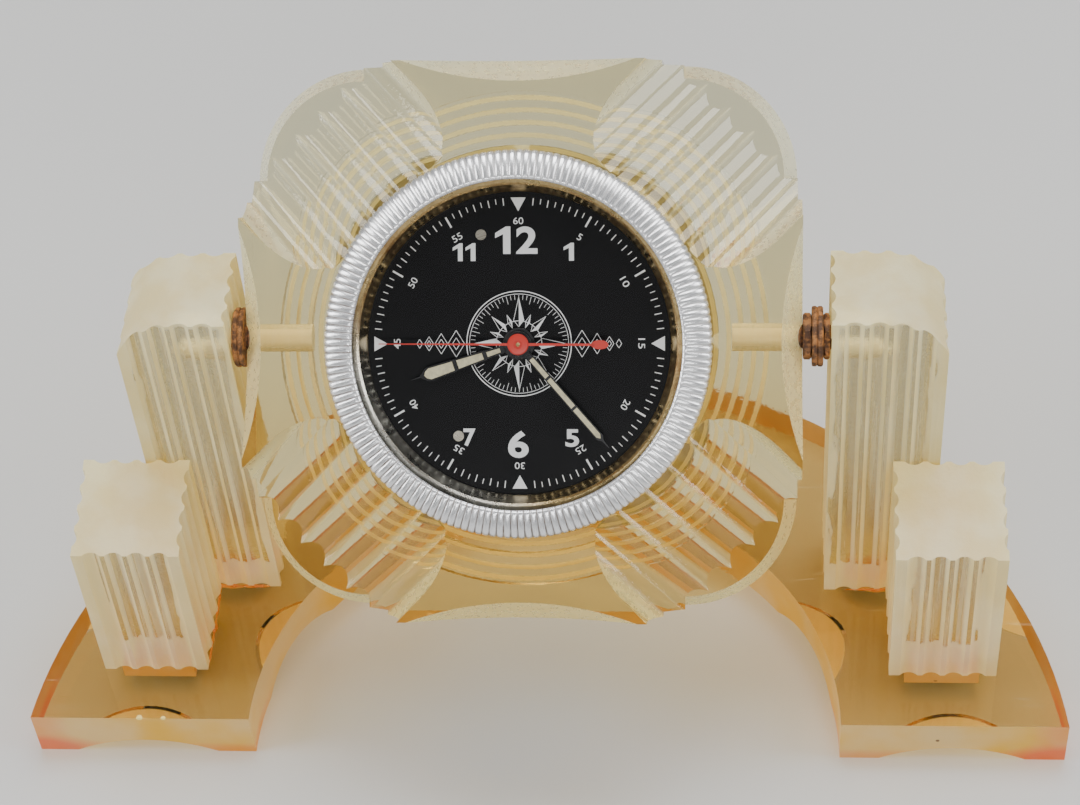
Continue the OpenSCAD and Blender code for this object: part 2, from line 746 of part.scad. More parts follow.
module rotor() {
    color([0.3, 0.3, 0.32]) in_head() at(rotor_pos) {
        gear(Z_ROTOR, m_rotor, rotor_turn, layer_low(5), layer_top(5));
        disc(magnet_r, rotor_top - rotor_h, rotor_top);
        disc(arbor_r, cover_low + 0.5, plate_low + 0.9);
    }
}

module idler_wheel() {
    color([0.93, 0.9, 0.8]) in_head() at(idler_pos) {
        gear(Z_IDLER, m_rotor, idler_turn, layer_low(5), layer_top(5));
        gear(Z_IDLER_PINION, m_seconds, idler_turn, layer_top(5), layer_top(4));
        disc(arbor_r, cover_low + 0.5, plate_low + 0.9);
    }
}

module seconds_wheel() {
    color([0.93, 0.9, 0.8]) in_head() {
        gear(Z_SECONDS, m_seconds, 0, layer_low(4), layer_top(4));
        gear(Z_SECONDS_PINION, m_third, 0, layer_top(4), layer_top(3));
        disc(seconds_r, layer_top(3), seconds_hand_w + hand_t);
        disc(arbor_r, cover_low + 0.5, layer_low(4));
    }
}

module third_wheel() {
    color([0.93, 0.9, 0.8]) in_head() at(third_pos) {
        gear(Z_THIRD, m_third, third_turn, layer_low(3), layer_top(3));
        gear(Z_THIRD_PINION, m_centre, third_turn, layer_top(3), layer_top(2));
        disc(arbor_r, cover_low + 0.5, plate_low + 0.9);
    }
}

module centre_wheel() {
    color([0.93, 0.9, 0.8]) in_head()
        gear(Z_CENTRE, m_centre, centre_turn, layer_low(2), layer_top(2), cannon_r);
}

// The pipe on the centre wheel that carries the minute hand and the first motion pinion
module cannon_pinion() {
    color([0.78, 0.66, 0.36]) in_head() difference() {
        union() {
            gear(Z_CANNON, m_motion, 0, layer_low(1), layer_top(1));
            disc(cannon_r - clutch_play, layer_low(2), minute_hand_w + hand_t);
        }
        disc(cannon_in_r, layer_low(2) - 1, minute_hand_w + 1);
    }
}

module minute_wheel() {
    color([0.93, 0.9, 0.8]) in_head() at(minute_pos) difference() {
        union() {
            gear(Z_MINUTE, m_motion, minute_turn, layer_low(1), layer_top(1));
            gear(Z_MINUTE_PINION, m_hour, minute_turn, layer_top(1), layer_top(0));
        }
        disc(arbor_r + run_play, layer_low(2), plate_low);
    }
}

module hour_wheel() {
    color([0.78, 0.66, 0.36]) in_head() difference() {
        union() {
            gear(Z_HOUR, m_hour, hour_turn, layer_low(0), layer_top(0));
            disc(hour_r, layer_low(0), hour_hand_w + hand_t);
        }
        disc(hour_in_r, layer_low(0) - 1, hour_hand_w + 1);
    }
}

module setting_knob() {
    color([0.12, 0.12, 0.12]) in_head() at(setting_pos) {
        gear(Z_SETTING, m_motion, setting_turn, layer_low(1), layer_top(1));
        disc(arbor_r, layer_low(1), plate_low + 0.9);
        disc(1, cover_low - 1, layer_low(1));
        disc(1.6, case_low - 0.5, cover_low - 0.2);
        difference() {
            disc(knob_d / 2, case_low - 0.3 - knob_h, case_low - 0.3);
            for (turn = [0 : 20 : 340]) rotate(turn) translate([knob_d / 2 + 0.25, 0, case_low - far])
                cylinder(r = 0.6, h = far, $fn = 16);
        }
    }
}

module circuit_board() {
    board_top = cover_low - seat;
    board_low = board_top - board_t;
    chip_t = board_t * 3 / 4;
    r = drum_r - 5;
    color([0.12, 0.35, 0.2]) in_head() rotate(-18) {
        intersection() {
            disc(r, board_low, board_top);
            translate([r / 4, -r / 2, board_low]) cube([r * 3 / 4, r, board_t]);
        }
        translate([r / 2, -r / 4, board_low - chip_t]) cube([chip_w, chip_w, chip_t + eps]);
    }
}

// The bobbin with its winding, standing beside the rotor
module coil() {
    mid = (plate_low + cover_top) / 2;
    color([0.72, 0.4, 0.2]) in_head() at(coil_pos) rotate(IDLER_DIR)
        translate([0, 0, mid]) rotate([90, 0, 0]) {
            cylinder(r = coil_r, h = coil_len, center = true, $fn = 48);
            for (end = [-1, 1]) translate([0, 0, end * (coil_len + bobbin_t) / 2])
                cylinder(r = coil_r * 1.25, h = bobbin_t, center = true);
        }
}

module stator() {
    low = rotor_top - rotor_h;
    color([0.6, 0.6, 0.62]) in_head() difference() {
        translate([0, 0, low]) linear_extrude(core_t) union() {
            at(rotor_pos) circle(magnet_r * 2);
            at(coil_pos) rotate(IDLER_DIR) translate([-1, 0])
                square([coil_r * 1.25, coil_len + 6 * bobbin_t], center = true);
            at(rotor_pos) rotate(IDLER_DIR) translate([0, -magnet_r])
                square([coil_pos[0] / cos(IDLER_DIR) - idler_dist - rotor_dist, 2 * magnet_r]);
        }
        at(rotor_pos) disc(magnet_r + 0.4, low - 1, low + 2);
    }
}

module button_cell() {
    rim = cell_h / 10;
    color([0.75, 0.75, 0.73]) in_head() at(cell_pos) {
        disc(cell_d / 2, cell_low, cell_low + cell_h - rim);
        disc(cell_d / 2 - 4 * rim, cell_low + cell_h - rim, cell_low + cell_h);
    }
}

// The spring strip that bears on the cell from the cover
module cell_contact() {
    low = cell_low + cell_h + seat;
    h = cover_low - seat - low;
    r = cell_d / 2;
    bend = r / 2;
    slack = strip_t / 2;
    color([0.8, 0.7, 0.4]) in_head() at(cell_pos) translate([0, 0, low]) rotate([90, 0, 0])
        linear_extrude(strip_w, center = true) polygon([
            [-r, h], [slack - bend, h], [bend + slack, strip_t], [r, strip_t], [r, 0],
            [bend - slack, 0], [-bend - slack, h - strip_t], [-r, h - strip_t]
        ]);
}

module cell_hatch() {
    color([0.66, 0.66, 0.64]) in_head() at(cell_pos) difference() {
        disc(hatch_r - 0.08, case_low, case_floor + 0.05);
        translate([0, 0, case_low]) cube([hatch_r * 1.2, 1.2, case_wall], center = true);
    }
}

// A hand lying along +Y, turned to its place on the dial
module hand_at(angle, low) {
    color([0.06, 0.06, 0.06]) in_head() translate([0, 0, low]) rotate(-angle)
        linear_extrude(hand_t) children();
}

// A hub that sits on a pipe of this radius
module hub(pipe_r, rim) {
    difference() {
        circle(pipe_r + rim);
        circle(pipe_r);
    }
}

// Plan of a tapered hand: its shoulders lie at this share of its length
module blade(root, length, shoulder, shoulder_w) {
    polygon([
        [-hand_w * 0.35, root], [-shoulder_w / 2, length * shoulder], [0, length],
        [shoulder_w / 2, length * shoulder], [hand_w * 0.35, root]
    ]);
}

module hour_hand() {
    hand_at(hour_at, hour_hand_w) hub(hour_r, hand_w * 0.4);
    hand_at(hour_at, hour_hand_w) blade(hour_r + hand_w / 6, hour_len, 0.8, hand_w * 1.2);
}

module minute_hand() {
    pipe_r = cannon_r - clutch_play;
    hand_at(minute_at, minute_hand_w) hub(pipe_r, hand_w * 0.45);
    hand_at(minute_at, minute_hand_w) blade(pipe_r + hand_w / 6, minute_len, 0.86, hand_w);
}

module seconds_hand() {
    root = seconds_r * 1.5;
    tail = seconds_len * 0.56;
    w = hand_w * 0.35;
    color([0.75, 0.08, 0.06]) {
        hand_at(seconds_at, seconds_hand_w) hub(seconds_r, hand_w * 0.7);
        hand_at(seconds_at, seconds_hand_w) polygon([
            [-w / 2, root], [-w / 5, seconds_len], [w / 5, seconds_len], [w / 2, root]
        ]);
        hand_at(seconds_at, seconds_hand_w) translate([-w / 2, -tail]) square([w, tail - root]);
        hand_at(seconds_at, seconds_hand_w) translate([0, -tail]) scale([0.5, 1.3]) circle(hand_w);
    }
}

base_slab();
tall_post_left();
tall_post_right();
short_post_left();
short_post_right();
post_cement();
head_block();
pivot_stud(-1);  // pivot_stud_left
pivot_stud(1);  // pivot_stud_right
washers_left();
washers_right();
head_nut();
lock_nut();
case_can();
clamp_ring();
bezel();
reflector_ring();
crystal();
dial();
dial_screws();
movement_plate();
movement_cover();
circuit_board();
coil();
stator();
rotor();
idler_wheel();
seconds_wheel();
third_wheel();
centre_wheel();
cannon_pinion();
minute_wheel();
hour_wheel();
setting_knob();
button_cell();
cell_contact();
cell_hatch();
hour_hand();
minute_hand();
seconds_hand();
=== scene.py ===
import json
import math
from functools import partial, reduce

import bpy
from bpy.props import FloatProperty, FloatVectorProperty, IntProperty, PointerProperty
from mathutils import Matrix, Vector, noise


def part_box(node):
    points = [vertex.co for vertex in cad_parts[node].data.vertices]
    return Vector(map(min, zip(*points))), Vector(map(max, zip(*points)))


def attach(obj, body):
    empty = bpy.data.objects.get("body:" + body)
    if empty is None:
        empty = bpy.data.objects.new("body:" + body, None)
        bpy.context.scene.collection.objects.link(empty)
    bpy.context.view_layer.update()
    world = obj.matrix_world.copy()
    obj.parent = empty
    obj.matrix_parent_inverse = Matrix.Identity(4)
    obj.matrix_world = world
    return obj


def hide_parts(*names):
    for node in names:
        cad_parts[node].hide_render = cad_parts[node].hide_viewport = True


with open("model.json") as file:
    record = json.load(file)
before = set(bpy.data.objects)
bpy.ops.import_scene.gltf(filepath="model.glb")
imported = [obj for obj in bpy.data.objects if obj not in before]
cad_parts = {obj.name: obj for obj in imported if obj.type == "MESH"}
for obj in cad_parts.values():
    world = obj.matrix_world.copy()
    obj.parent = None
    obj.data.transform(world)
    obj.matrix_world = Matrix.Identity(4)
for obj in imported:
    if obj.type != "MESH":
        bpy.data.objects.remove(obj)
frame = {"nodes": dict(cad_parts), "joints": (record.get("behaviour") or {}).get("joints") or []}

bl_info = {
    "name": "Tilting acrylic desk clock",
    "version": (1, 0, 0),
    "blender": (4, 5, 0),
    "location": "View3D > Sidebar > Desk clock",
    "description": "Dresses the packed frame of a tilting desk clock in clear fluted acrylic",
    "category": "Object",
}

MM = 0.001
TAU = 2 * math.pi


def mm(*values):
    """These millimetres in metres."""
    return tuple(value * MM for value in values)


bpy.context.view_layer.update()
NODES = frame["nodes"]
JOINTS = {joint["name"]: joint for joint in frame["joints"]}


def head_place():
    """The dial's place at rest: X right, Y up the face, Z out of it, centred on the hands."""
    joint = JOINTS["set_time"]
    out = -Vector(joint["axis"]).normalized()
    right = Vector((1, 0, 0))
    place = Matrix((right, out.cross(right), out)).transposed().to_4x4()
    place.translation = Vector(joint["pos_m"])
    return place


HEAD = head_place()
WORLD = Matrix.Identity(4)
PIVOT = Vector(JOINTS["head_tilt"]["pos_m"])


def head_points(node):
    """A node's vertices as the dial sees them, in metres."""
    back = HEAD.inverted()
    return [back @ vertex.co for vertex in NODES[node].data.vertices]


def head_levels(node):
    """Lowest and highest level of a node along the hands' axis."""
    levels = [point.z for point in head_points(node)]
    return min(levels), max(levels)


def head_radii(node):
    """Smallest and largest distance of a node's vertices from the hands' axis."""
    radii = [math.hypot(point.x, point.y) for point in head_points(node)]
    return min(radii), max(radii)


def hand_turn(node):
    """Direction of a hand's tip at rest, in radians, anticlockwise from twelve."""
    tip = max(head_points(node), key=lambda point: math.hypot(point.x, point.y))
    return math.atan2(tip.y, tip.x) - math.pi / 2


def new_object(name, data, place=WORLD):
    """Puts an object into the scene at this place."""
    made = bpy.data.objects.new(name, data)
    bpy.context.scene.collection.objects.link(made)
    made.matrix_world = place
    return made


# Shapes

INK = 0.02 * MM  # thickness of the print


class Shape:
    """The points and faces of one piece, gathered before its mesh is made.

    What adds to a shape, apart from slab and stroke, returns it, so that piece() can follow.
    """

    def __init__(self):
        self.points, self.faces = [], []

    def add(self, points, faces):
        start = len(self.points)
        self.points += [Vector(point) for point in points]
        self.faces += [tuple(start + index for index in face) for face in faces]
        return self

    def loft(self, rings, wrap=True):
        """Skins rings of equal length. With wrap, the last ring joins the first."""
        count, turns = len(rings[0]), len(rings)
        faces = []
        for i in range(turns if wrap else turns - 1):
            for j in range(count):
                a, b = i * count, (i + 1) % turns * count
                k = (j + 1) % count
                faces.append((a + j, a + k, b + k, b + j))
        return self.add([point for ring in rings for point in ring], faces)

    def lathe(self, count, section):
        """A part around an axis. section gives the pairs of radius and level at each step."""
        return self.loft([[(*polar(radius, TAU * i / count), level)
                           for radius, level in section(i)] for i in range(count)])

    def knob(self, section, low, count):
        """A solid turned part, from pairs of radius and level in millimetres above low."""
        return self.closed_loft([ring_points(radius * MM, low + level * MM, count)
                                 for radius, level in section])

    def closed_loft(self, rings):
        """Skins rings and closes both ends with flat caps."""
        start = len(self.points)
        self.loft(rings, wrap=False)
        count = len(rings[0])
        last = start + (len(rings) - 1) * count
        self.faces.append(tuple(start + j for j in reversed(range(count))))
        self.faces.append(tuple(last + j for j in range(count)))
        return self

    def slab(self, outline, low, high, bevel=0.0):
        """A flat plate with this outline, anticlockwise, and a narrow bevel on its top."""
        middle = Vector((0, 0))
        for point in outline:
            middle += Vector(point) / len(outline)
        rings = [[(x, y, low) for x, y in outline], [(x, y, high - bevel) for x, y in outline]]
        if bevel:
            inner = [Vector(p) + (middle - Vector(p)).normalized() * bevel for p in outline]
            rings.append([(p.x, p.y, high) for p in inner])
        self.closed_loft(rings)

    def stroke(self, start, end, half, level):
        """A straight printed line of this half width from one point to another."""
        start, end = Vector(start), Vector(end)
        along = (end - start).normalized()
        across = Vector((-along.y, along.x)) * half
        self.slab([start - across, end - across, end + across, start + across],
                  level - INK, level)

    def piece(self, name, body, finish, slot, place=WORLD, replaces=(), crease=35):
        """Makes the piece, puts it in place and lets it ride on its body."""
        mesh = bpy.data.meshes.new(name)
        mesh.from_pydata(self.points, [], self.faces)
        mesh.validate()
        mesh.shade_smooth()
        mesh.set_sharp_from_angle(angle=math.radians(crease))
        mesh.materials.append(finish)
        piece = new_object(name, mesh, place)
        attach(piece, body)
        if replaces:
            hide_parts(*replaces)


def polar(radius, angle):
    return radius * math.cos(angle), radius * math.sin(angle)


def ring_points(radius, level, count):
    return [(*polar(radius, TAU * i / count), level) for i in range(count)]


def turned(outline, angle):
    """An outline turned about the hands' axis."""
    spin = Matrix.Rotation(angle, 2)
    return [tuple(spin @ Vector(point)) for point in outline]


def tapered(widths):
    """Outline of a long thin part along +Y, from pairs of distance and half width."""
    right = [(half, along) for along, half in widths]
    return right + [(-half, along) for along, half in reversed(widths)]


# Finishes


class Finish:
    """A procedural finish: a principled shader and the nodes that feed it."""

    def __init__(self, name, **values):
        self.material = bpy.data.materials.new(name)
        self.material.use_nodes = True
        self.tree = self.material.node_tree
        self.shader = self.tree.nodes["Principled BSDF"]
        self.output = self.tree.nodes["Material Output"]
        coords = self.node("TexCoord")
        self.spot = coords.outputs["Object"]
        self.facing = coords.outputs["Normal"]
        self.set(**values)

    def node(self, kind, sockets=None, **options):
        made = self.tree.nodes.new("ShaderNode" + kind)
        for key, value in options.items():
            setattr(made, key, value)
        for key, value in (sockets or {}).items():
            self.feed(made.inputs[key], value)
        return made

    def feed(self, socket, value):
        if isinstance(value, bpy.types.NodeSocket):
            self.tree.links.new(value, socket)
        elif socket.type == "RGBA" and len(value) == 3:
            socket.default_value = (*value, 1)
        else:
            socket.default_value = value

    def set(self, **values):
        """Sets shader sockets, named with underscores for spaces, and returns the material."""
        for key, value in values.items():
            self.feed(self.shader.inputs[key.replace("_", " ")], value)
        return self.material

    def math(self, operation, *values, clamp=False):
        return self.node("Math", dict(enumerate(values)), operation=operation,
                         use_clamp=clamp).outputs[0]

    def vector(self, operation, *values, output=0):
        return self.node("VectorMath", dict(enumerate(values)),
                         operation=operation).outputs[output]

    def size(self, value):
        """The value without its sign."""
        return self.math("ABSOLUTE", value)

    def product(self, *values):
        return reduce(partial(self.math, "MULTIPLY"), values)

    def most(self, *values):
        return reduce(partial(self.math, "MAXIMUM"), values)

    def step(self, value, low, high, start=0.0, end=1.0):
        """A smooth rise from start to end as value goes from low to high."""
        return self.node("MapRange", {"Value": value, "From Min": low, "From Max": high,
                                      "To Min": start, "To Max": end},
                         interpolation_type="SMOOTHSTEP").outputs[0]

    def blend(self, share, a, b):
        """Colour a where share is 0, and b where it is 1."""
        return self.node("Mix", {0: share, 6: a, 7: b}, data_type="RGBA").outputs[2]

    def layers(self, base, *covers):
        """Lays colours over a base, from pairs of share and colour."""
        for share, cover in covers:
            base = self.blend(share, base, cover)
        return base

    def split(self, vector):
        return self.node("SeparateXYZ", {"Vector": vector}).outputs

    def as_placed(self, place, facing=False):
        """Coordinates as the given place sees them, or which way the surface faces there."""
        vector, origin = (self.facing, (0, 0, 0)) if facing else (self.spot, place.translation)
        return self.node("Mapping", {"Vector": vector, "Location": origin,
                                     "Rotation": place.to_euler()},
                         vector_type="TEXTURE").outputs[0]

    def noise(self, scale, detail=3, vector=None, roughness=0.5):
        return self.node("TexNoise", {"Vector": vector or self.spot, "Scale": scale,
                                      "Detail": detail, "Roughness": roughness}).outputs["Fac"]

    def fibres(self, scale, detail=3, roughness=0.5, vector=None):
        """Noise with its own scale along each axis, long where the scale is small."""
        drawn = self.node("Mapping", {"Vector": vector or self.spot, "Scale": scale}).outputs[0]
        return self.noise(1.0, detail, drawn, roughness)

    def bump(self, height, distance, strength, below=None):
        """Bumps of this height in metres, on top of those already there."""
        made = self.node("Bump", {"Height": height, "Distance": distance, "Strength": strength})
        if below is not None:
            self.feed(made.inputs["Normal"], below)
        return made.outputs[0]

    def grain(self, scale, distance, strength, below=None):
        """Fine even bumps, on top of those already there."""
        return self.bump(self.noise(scale), distance, strength, below)

    def distance(self, vector, spot, scale):
        """Distance of each point from a spot, along the axes whose scale is not 0."""
        scaled = self.vector("MULTIPLY", self.vector("SUBTRACT", vector, spot), scale)
        return self.vector("LENGTH", scaled, output="Value")

    def length(self, a, b):
        """Length of the two parts together, such as a distance from an axis."""
        flat = self.node("CombineXYZ", {"X": a, "Y": b}).outputs[0]
        return self.vector("LENGTH", flat, output="Value")

    def bore(self, spot, axis):
        """The bores around the tilt axis, where axis is a point on it."""
        return self.step(self.distance(spot, axis, (0, 1, 1)), *BORE, 1, 0)

    def see_through(self, chosen, share=1.0):
        """Tints what shines through the inside, and lets the lamps shine in.

        Without the open side a solid of acrylic would cast a shadow as black as stone's.
        """
        inside = self.node("VolumeAbsorption",
                           {"Color": chosen.tint, "Density": chosen.density * share})
        self.tree.links.new(inside.outputs[0], self.output.inputs["Volume"])
        open_side = self.node("BsdfTransparent", {"Color": chosen.glow}).outputs[0]
        lamp = self.node("LightPath").outputs["Is Shadow Ray"]
        mix = self.node("MixShader", {0: lamp, 1: self.shader.outputs[0], 2: open_side})
        self.tree.links.new(mix.outputs[0], self.output.inputs["Surface"])
        return self.material


def changed(colour, share, more=0):
    return tuple(part * share + more for part in colour)


# Where the acrylic's finishes meet. Each pair is the start and the end of a soft edge.
BORE = mm(2.7, 2.85)  # distance from the tilt axis
FLANK = mm(37.6, 38.1)  # distance from the head's middle, sideways
HOLE = mm(32.95, 33.1)  # distance from the hands' axis
HOLE_FLOOR = mm(-13.9, -13.7)  # level on the hands' axis
RECESS = mm(45.6, 45.8)  # distance from the hands' axis
RECESS_ROOF = mm(-4.3, -4.1)  # level on the hands' axis
YELLOWING = mm(30, -45)  # height on the head, from clear to yellow
TURNED_BAND = 2.3 * MM  # width of a turned band in the recess

ACRYLIC_IOR = 1.49


def acrylic(name, chosen, place, worn, solid):
    """Clear yellowed acrylic. worn returns how rough each point is, and the colours there, which
    on the base include a painted glow.
    """
    finish = Finish(name, IOR=ACRYLIC_IOR)
    haze = finish.noise(38)
    scuffs = finish.step(finish.fibres((900, 60, 900), 2), 0.66, 0.74)
    rough, clear, tone = worn(finish, finish.as_placed(place),
                              finish.as_placed(place, facing=True), chosen)
    polish = finish.math("ADD", finish.step(haze, 0.3, 0.75, 0.01, 0.04),
                         finish.product(scuffs, 0.05))
    finish.set(
        Base_Color=finish.blend(rough, clear, tone),
        Roughness=finish.math("ADD", polish, finish.product(rough, 0.42), clamp=True),
        Transmission_Weight=finish.step(rough, 0, 1, 1.0, solid),
        Normal=finish.grain(1400, 0.04 * MM, 0.25, finish.bump(haze, 0.35 * MM, 0.35)),
    )
    return finish.see_through(chosen)


def head_wear(finish, spot, facing, chosen):
    """Rough bores and sawn hole, turned bands in the recess, and milky edges on the flutes."""
    step, product, most = finish.step, finish.product, finish.most
    x, y, z = finish.split(spot)
    level = finish.size(finish.split(facing)[2])
    radius = finish.length(x, y)
    saw = finish.fibres((1700, 240, 240), 3, 0.7, spot)
    bore = product(finish.bore(spot, HEAD.inverted() @ PIVOT), step(finish.size(x), *FLANK),
                   step(saw, 0.3, 0.7, 0.75, 1.0))
    wall = product(step(radius, *HOLE, 1, 0), step(z, *HOLE_FLOOR, 0.3, 0.9))
    bands = finish.math("SINE", product(radius, TAU / TURNED_BAND))
    recess = product(step(radius, *RECESS, 1, 0), step(z, *RECESS_ROOF, 1, 0),
                     step(bands, -0.2, 0.7, 0.06, 0.7))
    edges = product(step(level, 0.76, 0.60), step(level, 0.06, 0.16),
                    step(finish.noise(900), 0.3, 0.7, 0.55, 0.75))
    sawn, sawn_tone = most(bore, wall), (0.92, 0.88, 0.74)
    low = step(y, *YELLOWING)
    clear = finish.blend(low, chosen.clear, chosen.aged)
    tone = finish.layers(chosen.frost, (low, chosen.honey), (sawn, sawn_tone))
    return most(sawn, recess, edges), clear, tone


def slab_wear(finish, spot, facing, chosen):
    """Edges painted amber, as if lit by light carried through the slab, deepening to a painted red
    glow at the outer corners, and two chips at the front.
    """
    step, product, most = finish.step, finish.product, finish.most
    x, y, z = finish.split(spot)
    up = finish.split(facing)[2]
    level = finish.size(up)
    low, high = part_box("base_slab")
    upright = step(level, 0.55, 0.25)
    # Painted amber glow on the upright faces, standing in for light carried through the slab.
    edge = product(upright, step(finish.noise(55), 0.3, 0.7, 0.8, 1.0))
    # Where the painted glow deepens to red: the outer ends and the lower rim, near the front.
    outer = step(finish.size(x), high.x - 14 * MM, high.x - 1 * MM)
    lower = step(z, *mm(6, 0.5), -0.55, 0.45)
    red_glow_mask = product(finish.math("ADD", outer, lower, clamp=True),
                     step(y, low.y + 20 * MM, low.y + 4 * MM))
    chips = most(*(
        step(finish.distance(spot, (low.x + along, low.y, high.z), (1, 0.8, 1.1)),
             reach * 0.8, reach, 1, 0)
        for along, reach in (mm(21.5, 0.7), mm(26.2, 0.55))
    ))
    speck_spot, speck_tone = (high.x - 24.5 * MM, low.y, 6.2 * MM), (0.16, 0.07, 0.02)
    speck = step(finish.distance(spot, speck_spot, (1, 0, 1)), *mm(0.3, 0.45), 1, 0)
    rubbed = product(step(up, 0.8, 0.95), step(finish.fibres((70, 1500, 70), 2), 0.66, 0.72), 0.2)
    scoops = product(step(level, 0.3, 0.5), step(z, *mm(0.3, 0.6)), step(z, *mm(5.5, 6), 1, 0),
                     0.8)
    # The amber and red layers are painted glow; the chips, speck and scoops are the acrylic's own
    # marks.
    tone = finish.layers(
        chosen.frost, (edge, chosen.amber), (product(red_glow_mask, upright), chosen.burnt),
        (chips, chosen.honey), (speck, speck_tone), (scoops, chosen.honey))
    return most(edge, chips, speck, rubbed, scoops), chosen.smoky, tone


def post_acrylic(name, chosen, node, outer, window, foot):
    """Half frosted acrylic: clear and streaky between the front ridges, rough elsewhere.

    outer is -1 or 1, the side away from the head. window is the clear part's width, and foot how
    far up it begins, as shares of the post.
    """
    low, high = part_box(node)
    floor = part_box("base_slab")[1].z
    middle, half, height = (low.x + high.x) / 2, (high.x - low.x) / 2, high.z - floor
    finish = Finish(name, IOR=ACRYLIC_IOR)
    step, product, add = finish.step, finish.product, partial(finish.math, "ADD")
    x, _, z = finish.split(finish.spot)
    nx, ny, _ = finish.split(finish.facing)
    wobble = step(finish.fibres((420, 420, 60)), 0.3, 0.7, *mm(-0.8, 0.8))
    across = finish.size(add(x, outer * 0.08 * half - middle))
    width, above = window * half, floor + foot * height
    streaks = finish.fibres((620, 620, 14), 4, 0.6)
    bore = finish.bore(finish.spot, PIVOT)
    buried = step(z, floor - 0.4 * MM, floor - 0.1 * MM, 1, 0)
    opening = product(
        step(product(ny, -1.0), 0.2, 0.6), step(finish.size(nx), 0.55, 0.3),
        step(add(across, wobble), width, width + 0.6 * MM, 1, 0),
        step(add(z, wobble), above, above + 0.6 * MM),
        step(z, high.z - 1.2 * MM, high.z - 0.2 * MM, 1, 0), step(streaks, 0.34, 0.6, 0.45, 1.0),
        finish.math("SUBTRACT", 1.0, finish.most(bore, buried)),
    )
    # The part sunk in the base takes the base's amber, redder towards the outer end.
    end = step(product(x, outer), outer * middle + 0.2 * half, outer * middle + 0.45 * half)
    sunk_tone = finish.blend(product(end, 0.3), chosen.amber, chosen.burnt)
    burn_spot = (high.x - 1.55 * half, low.y + 4 * MM, floor + 0.78 * height)
    burns = product(
        step(finish.distance(finish.spot, burn_spot, (1, 0.6, 0.45)), *mm(1.2, 2.6), 1, 0),
        step(finish.noise(420), 0.42, 0.6), 0.75 if node == "short_post_right" else 0)
    bore_tone, burn_tone = (0.94, 0.91, 0.80), (0.55, 0.20, 0.03)
    cream = finish.layers(
        chosen.frost, (step(finish.fibres((110, 110, 45)), 0.35, 0.65), chosen.post),
        (bore, bore_tone), (buried, sunk_tone), (burns, burn_tone))
    frosting = finish.bump(product(finish.noise(1300), opening), 0.3 * MM, 0.6)
    finish.set(
        Base_Color=finish.blend(opening, cream, chosen.window),
        Roughness=step(opening, 0, 1, 0.5, 0.13),
        Transmission_Weight=step(opening, 0, 1, 0.42, 0.94),
        Normal=finish.bump(add(streaks, product(finish.fibres((90, 90, 1900)), 0.5)), 0.4 * MM,
                           0.5, finish.grain(2600, 0.1 * MM, 0.5, frosting)),
    )
    return finish.see_through(chosen, 0.8)


def chrome(name, colour, ribs):
    """Thin worn chrome, with dark brown lines and pits that run along the ribs."""
    finish = Finish(name)
    step, product, blend = finish.step, finish.product, finish.blend
    x, y, _ = finish.split(finish.spot)
    around, radius = finish.math("ARCTAN2", y, x), finish.length(x, y)
    lanes = finish.node("CombineXYZ", {"X": product(around, 260),
                                       "Y": product(radius, 620)}).outputs[0]
    phase = finish.math("FRACT", product(around, ribs / TAU))
    groove = step(finish.size(finish.math("SUBTRACT", phase, 0.5)), 0.34, 0.44)
    streaks = finish.noise(1.0, 3, lanes, 0.65)
    worn = step(finish.math("ADD", x, y), *mm(-30, 20), 1.0, 0.45)
    pits = product(step(streaks, 0.62, 0.68), step(finish.noise(95), 0.35, 0.65), worn)
    dirt = finish.most(pits, product(groove, step(streaks, 0.34, 0.6, 0.25, 1.0), worn, 0.9))
    soot, brown = (0.03, 0.022, 0.018), (0.17, 0.09, 0.035)
    brushed = finish.fibres((3.0, 0.4, 1), 2, vector=lanes)
    return finish.set(
        Base_Color=blend(dirt, blend(brushed, colour, changed(colour, 0.86)),
                         blend(finish.noise(700, 2), soot, brown)),
        Metallic=step(dirt, 0.2, 0.9, 0.82, 0.2),
        Roughness=finish.math("ADD", step(brushed, 0.3, 0.7, 0.2, 0.36), product(dirt, 0.4),
                              clamp=True),
        Normal=finish.bump(dirt, -0.06 * MM, 0.6, finish.bump(brushed, 0.02 * MM, 0.5)),
    )


def ring_brass(name, colour):
    """Tarnished brass, with the plating rubbed off at the lower left."""
    finish = Finish(name, Metallic=1.0)
    x, y, _ = finish.split(finish.as_placed(HEAD))
    cloud = finish.noise(150, 5, roughness=0.7)
    tarnish, rubbed = (0.30, 0.17, 0.07), (0.68, 0.66, 0.58)
    return finish.set(
        Base_Color=finish.layers(
            colour, (finish.step(cloud, 0.45, 0.7), tarnish),
            (finish.step(finish.math("ADD", x, y), *mm(-36, -20), 1, 0), rubbed)),
        Roughness=finish.step(cloud, 0.3, 0.7, 0.2, 0.4),
        Normal=finish.grain(1200, 0.04 * MM, 0.5),
    )


def rust(name, colour, dark):
    """Steel browned all over, with lighter orange bloom and dark scale."""
    finish = Finish(name)
    bloom = finish.noise(700, 5, roughness=0.7)
    scale = finish.noise(240, 4)
    orange = (0.46, 0.21, 0.07)
    return finish.set(
        Base_Color=finish.blend(finish.step(bloom, 0.42, 0.62), dark,
                                finish.blend(scale, colour, orange)),
        Metallic=0.1,
        Roughness=finish.step(scale, 0.2, 0.8, 0.62, 0.95),
        Normal=finish.bump(finish.math("ADD", bloom, scale), 0.25 * MM, 0.8),
    )


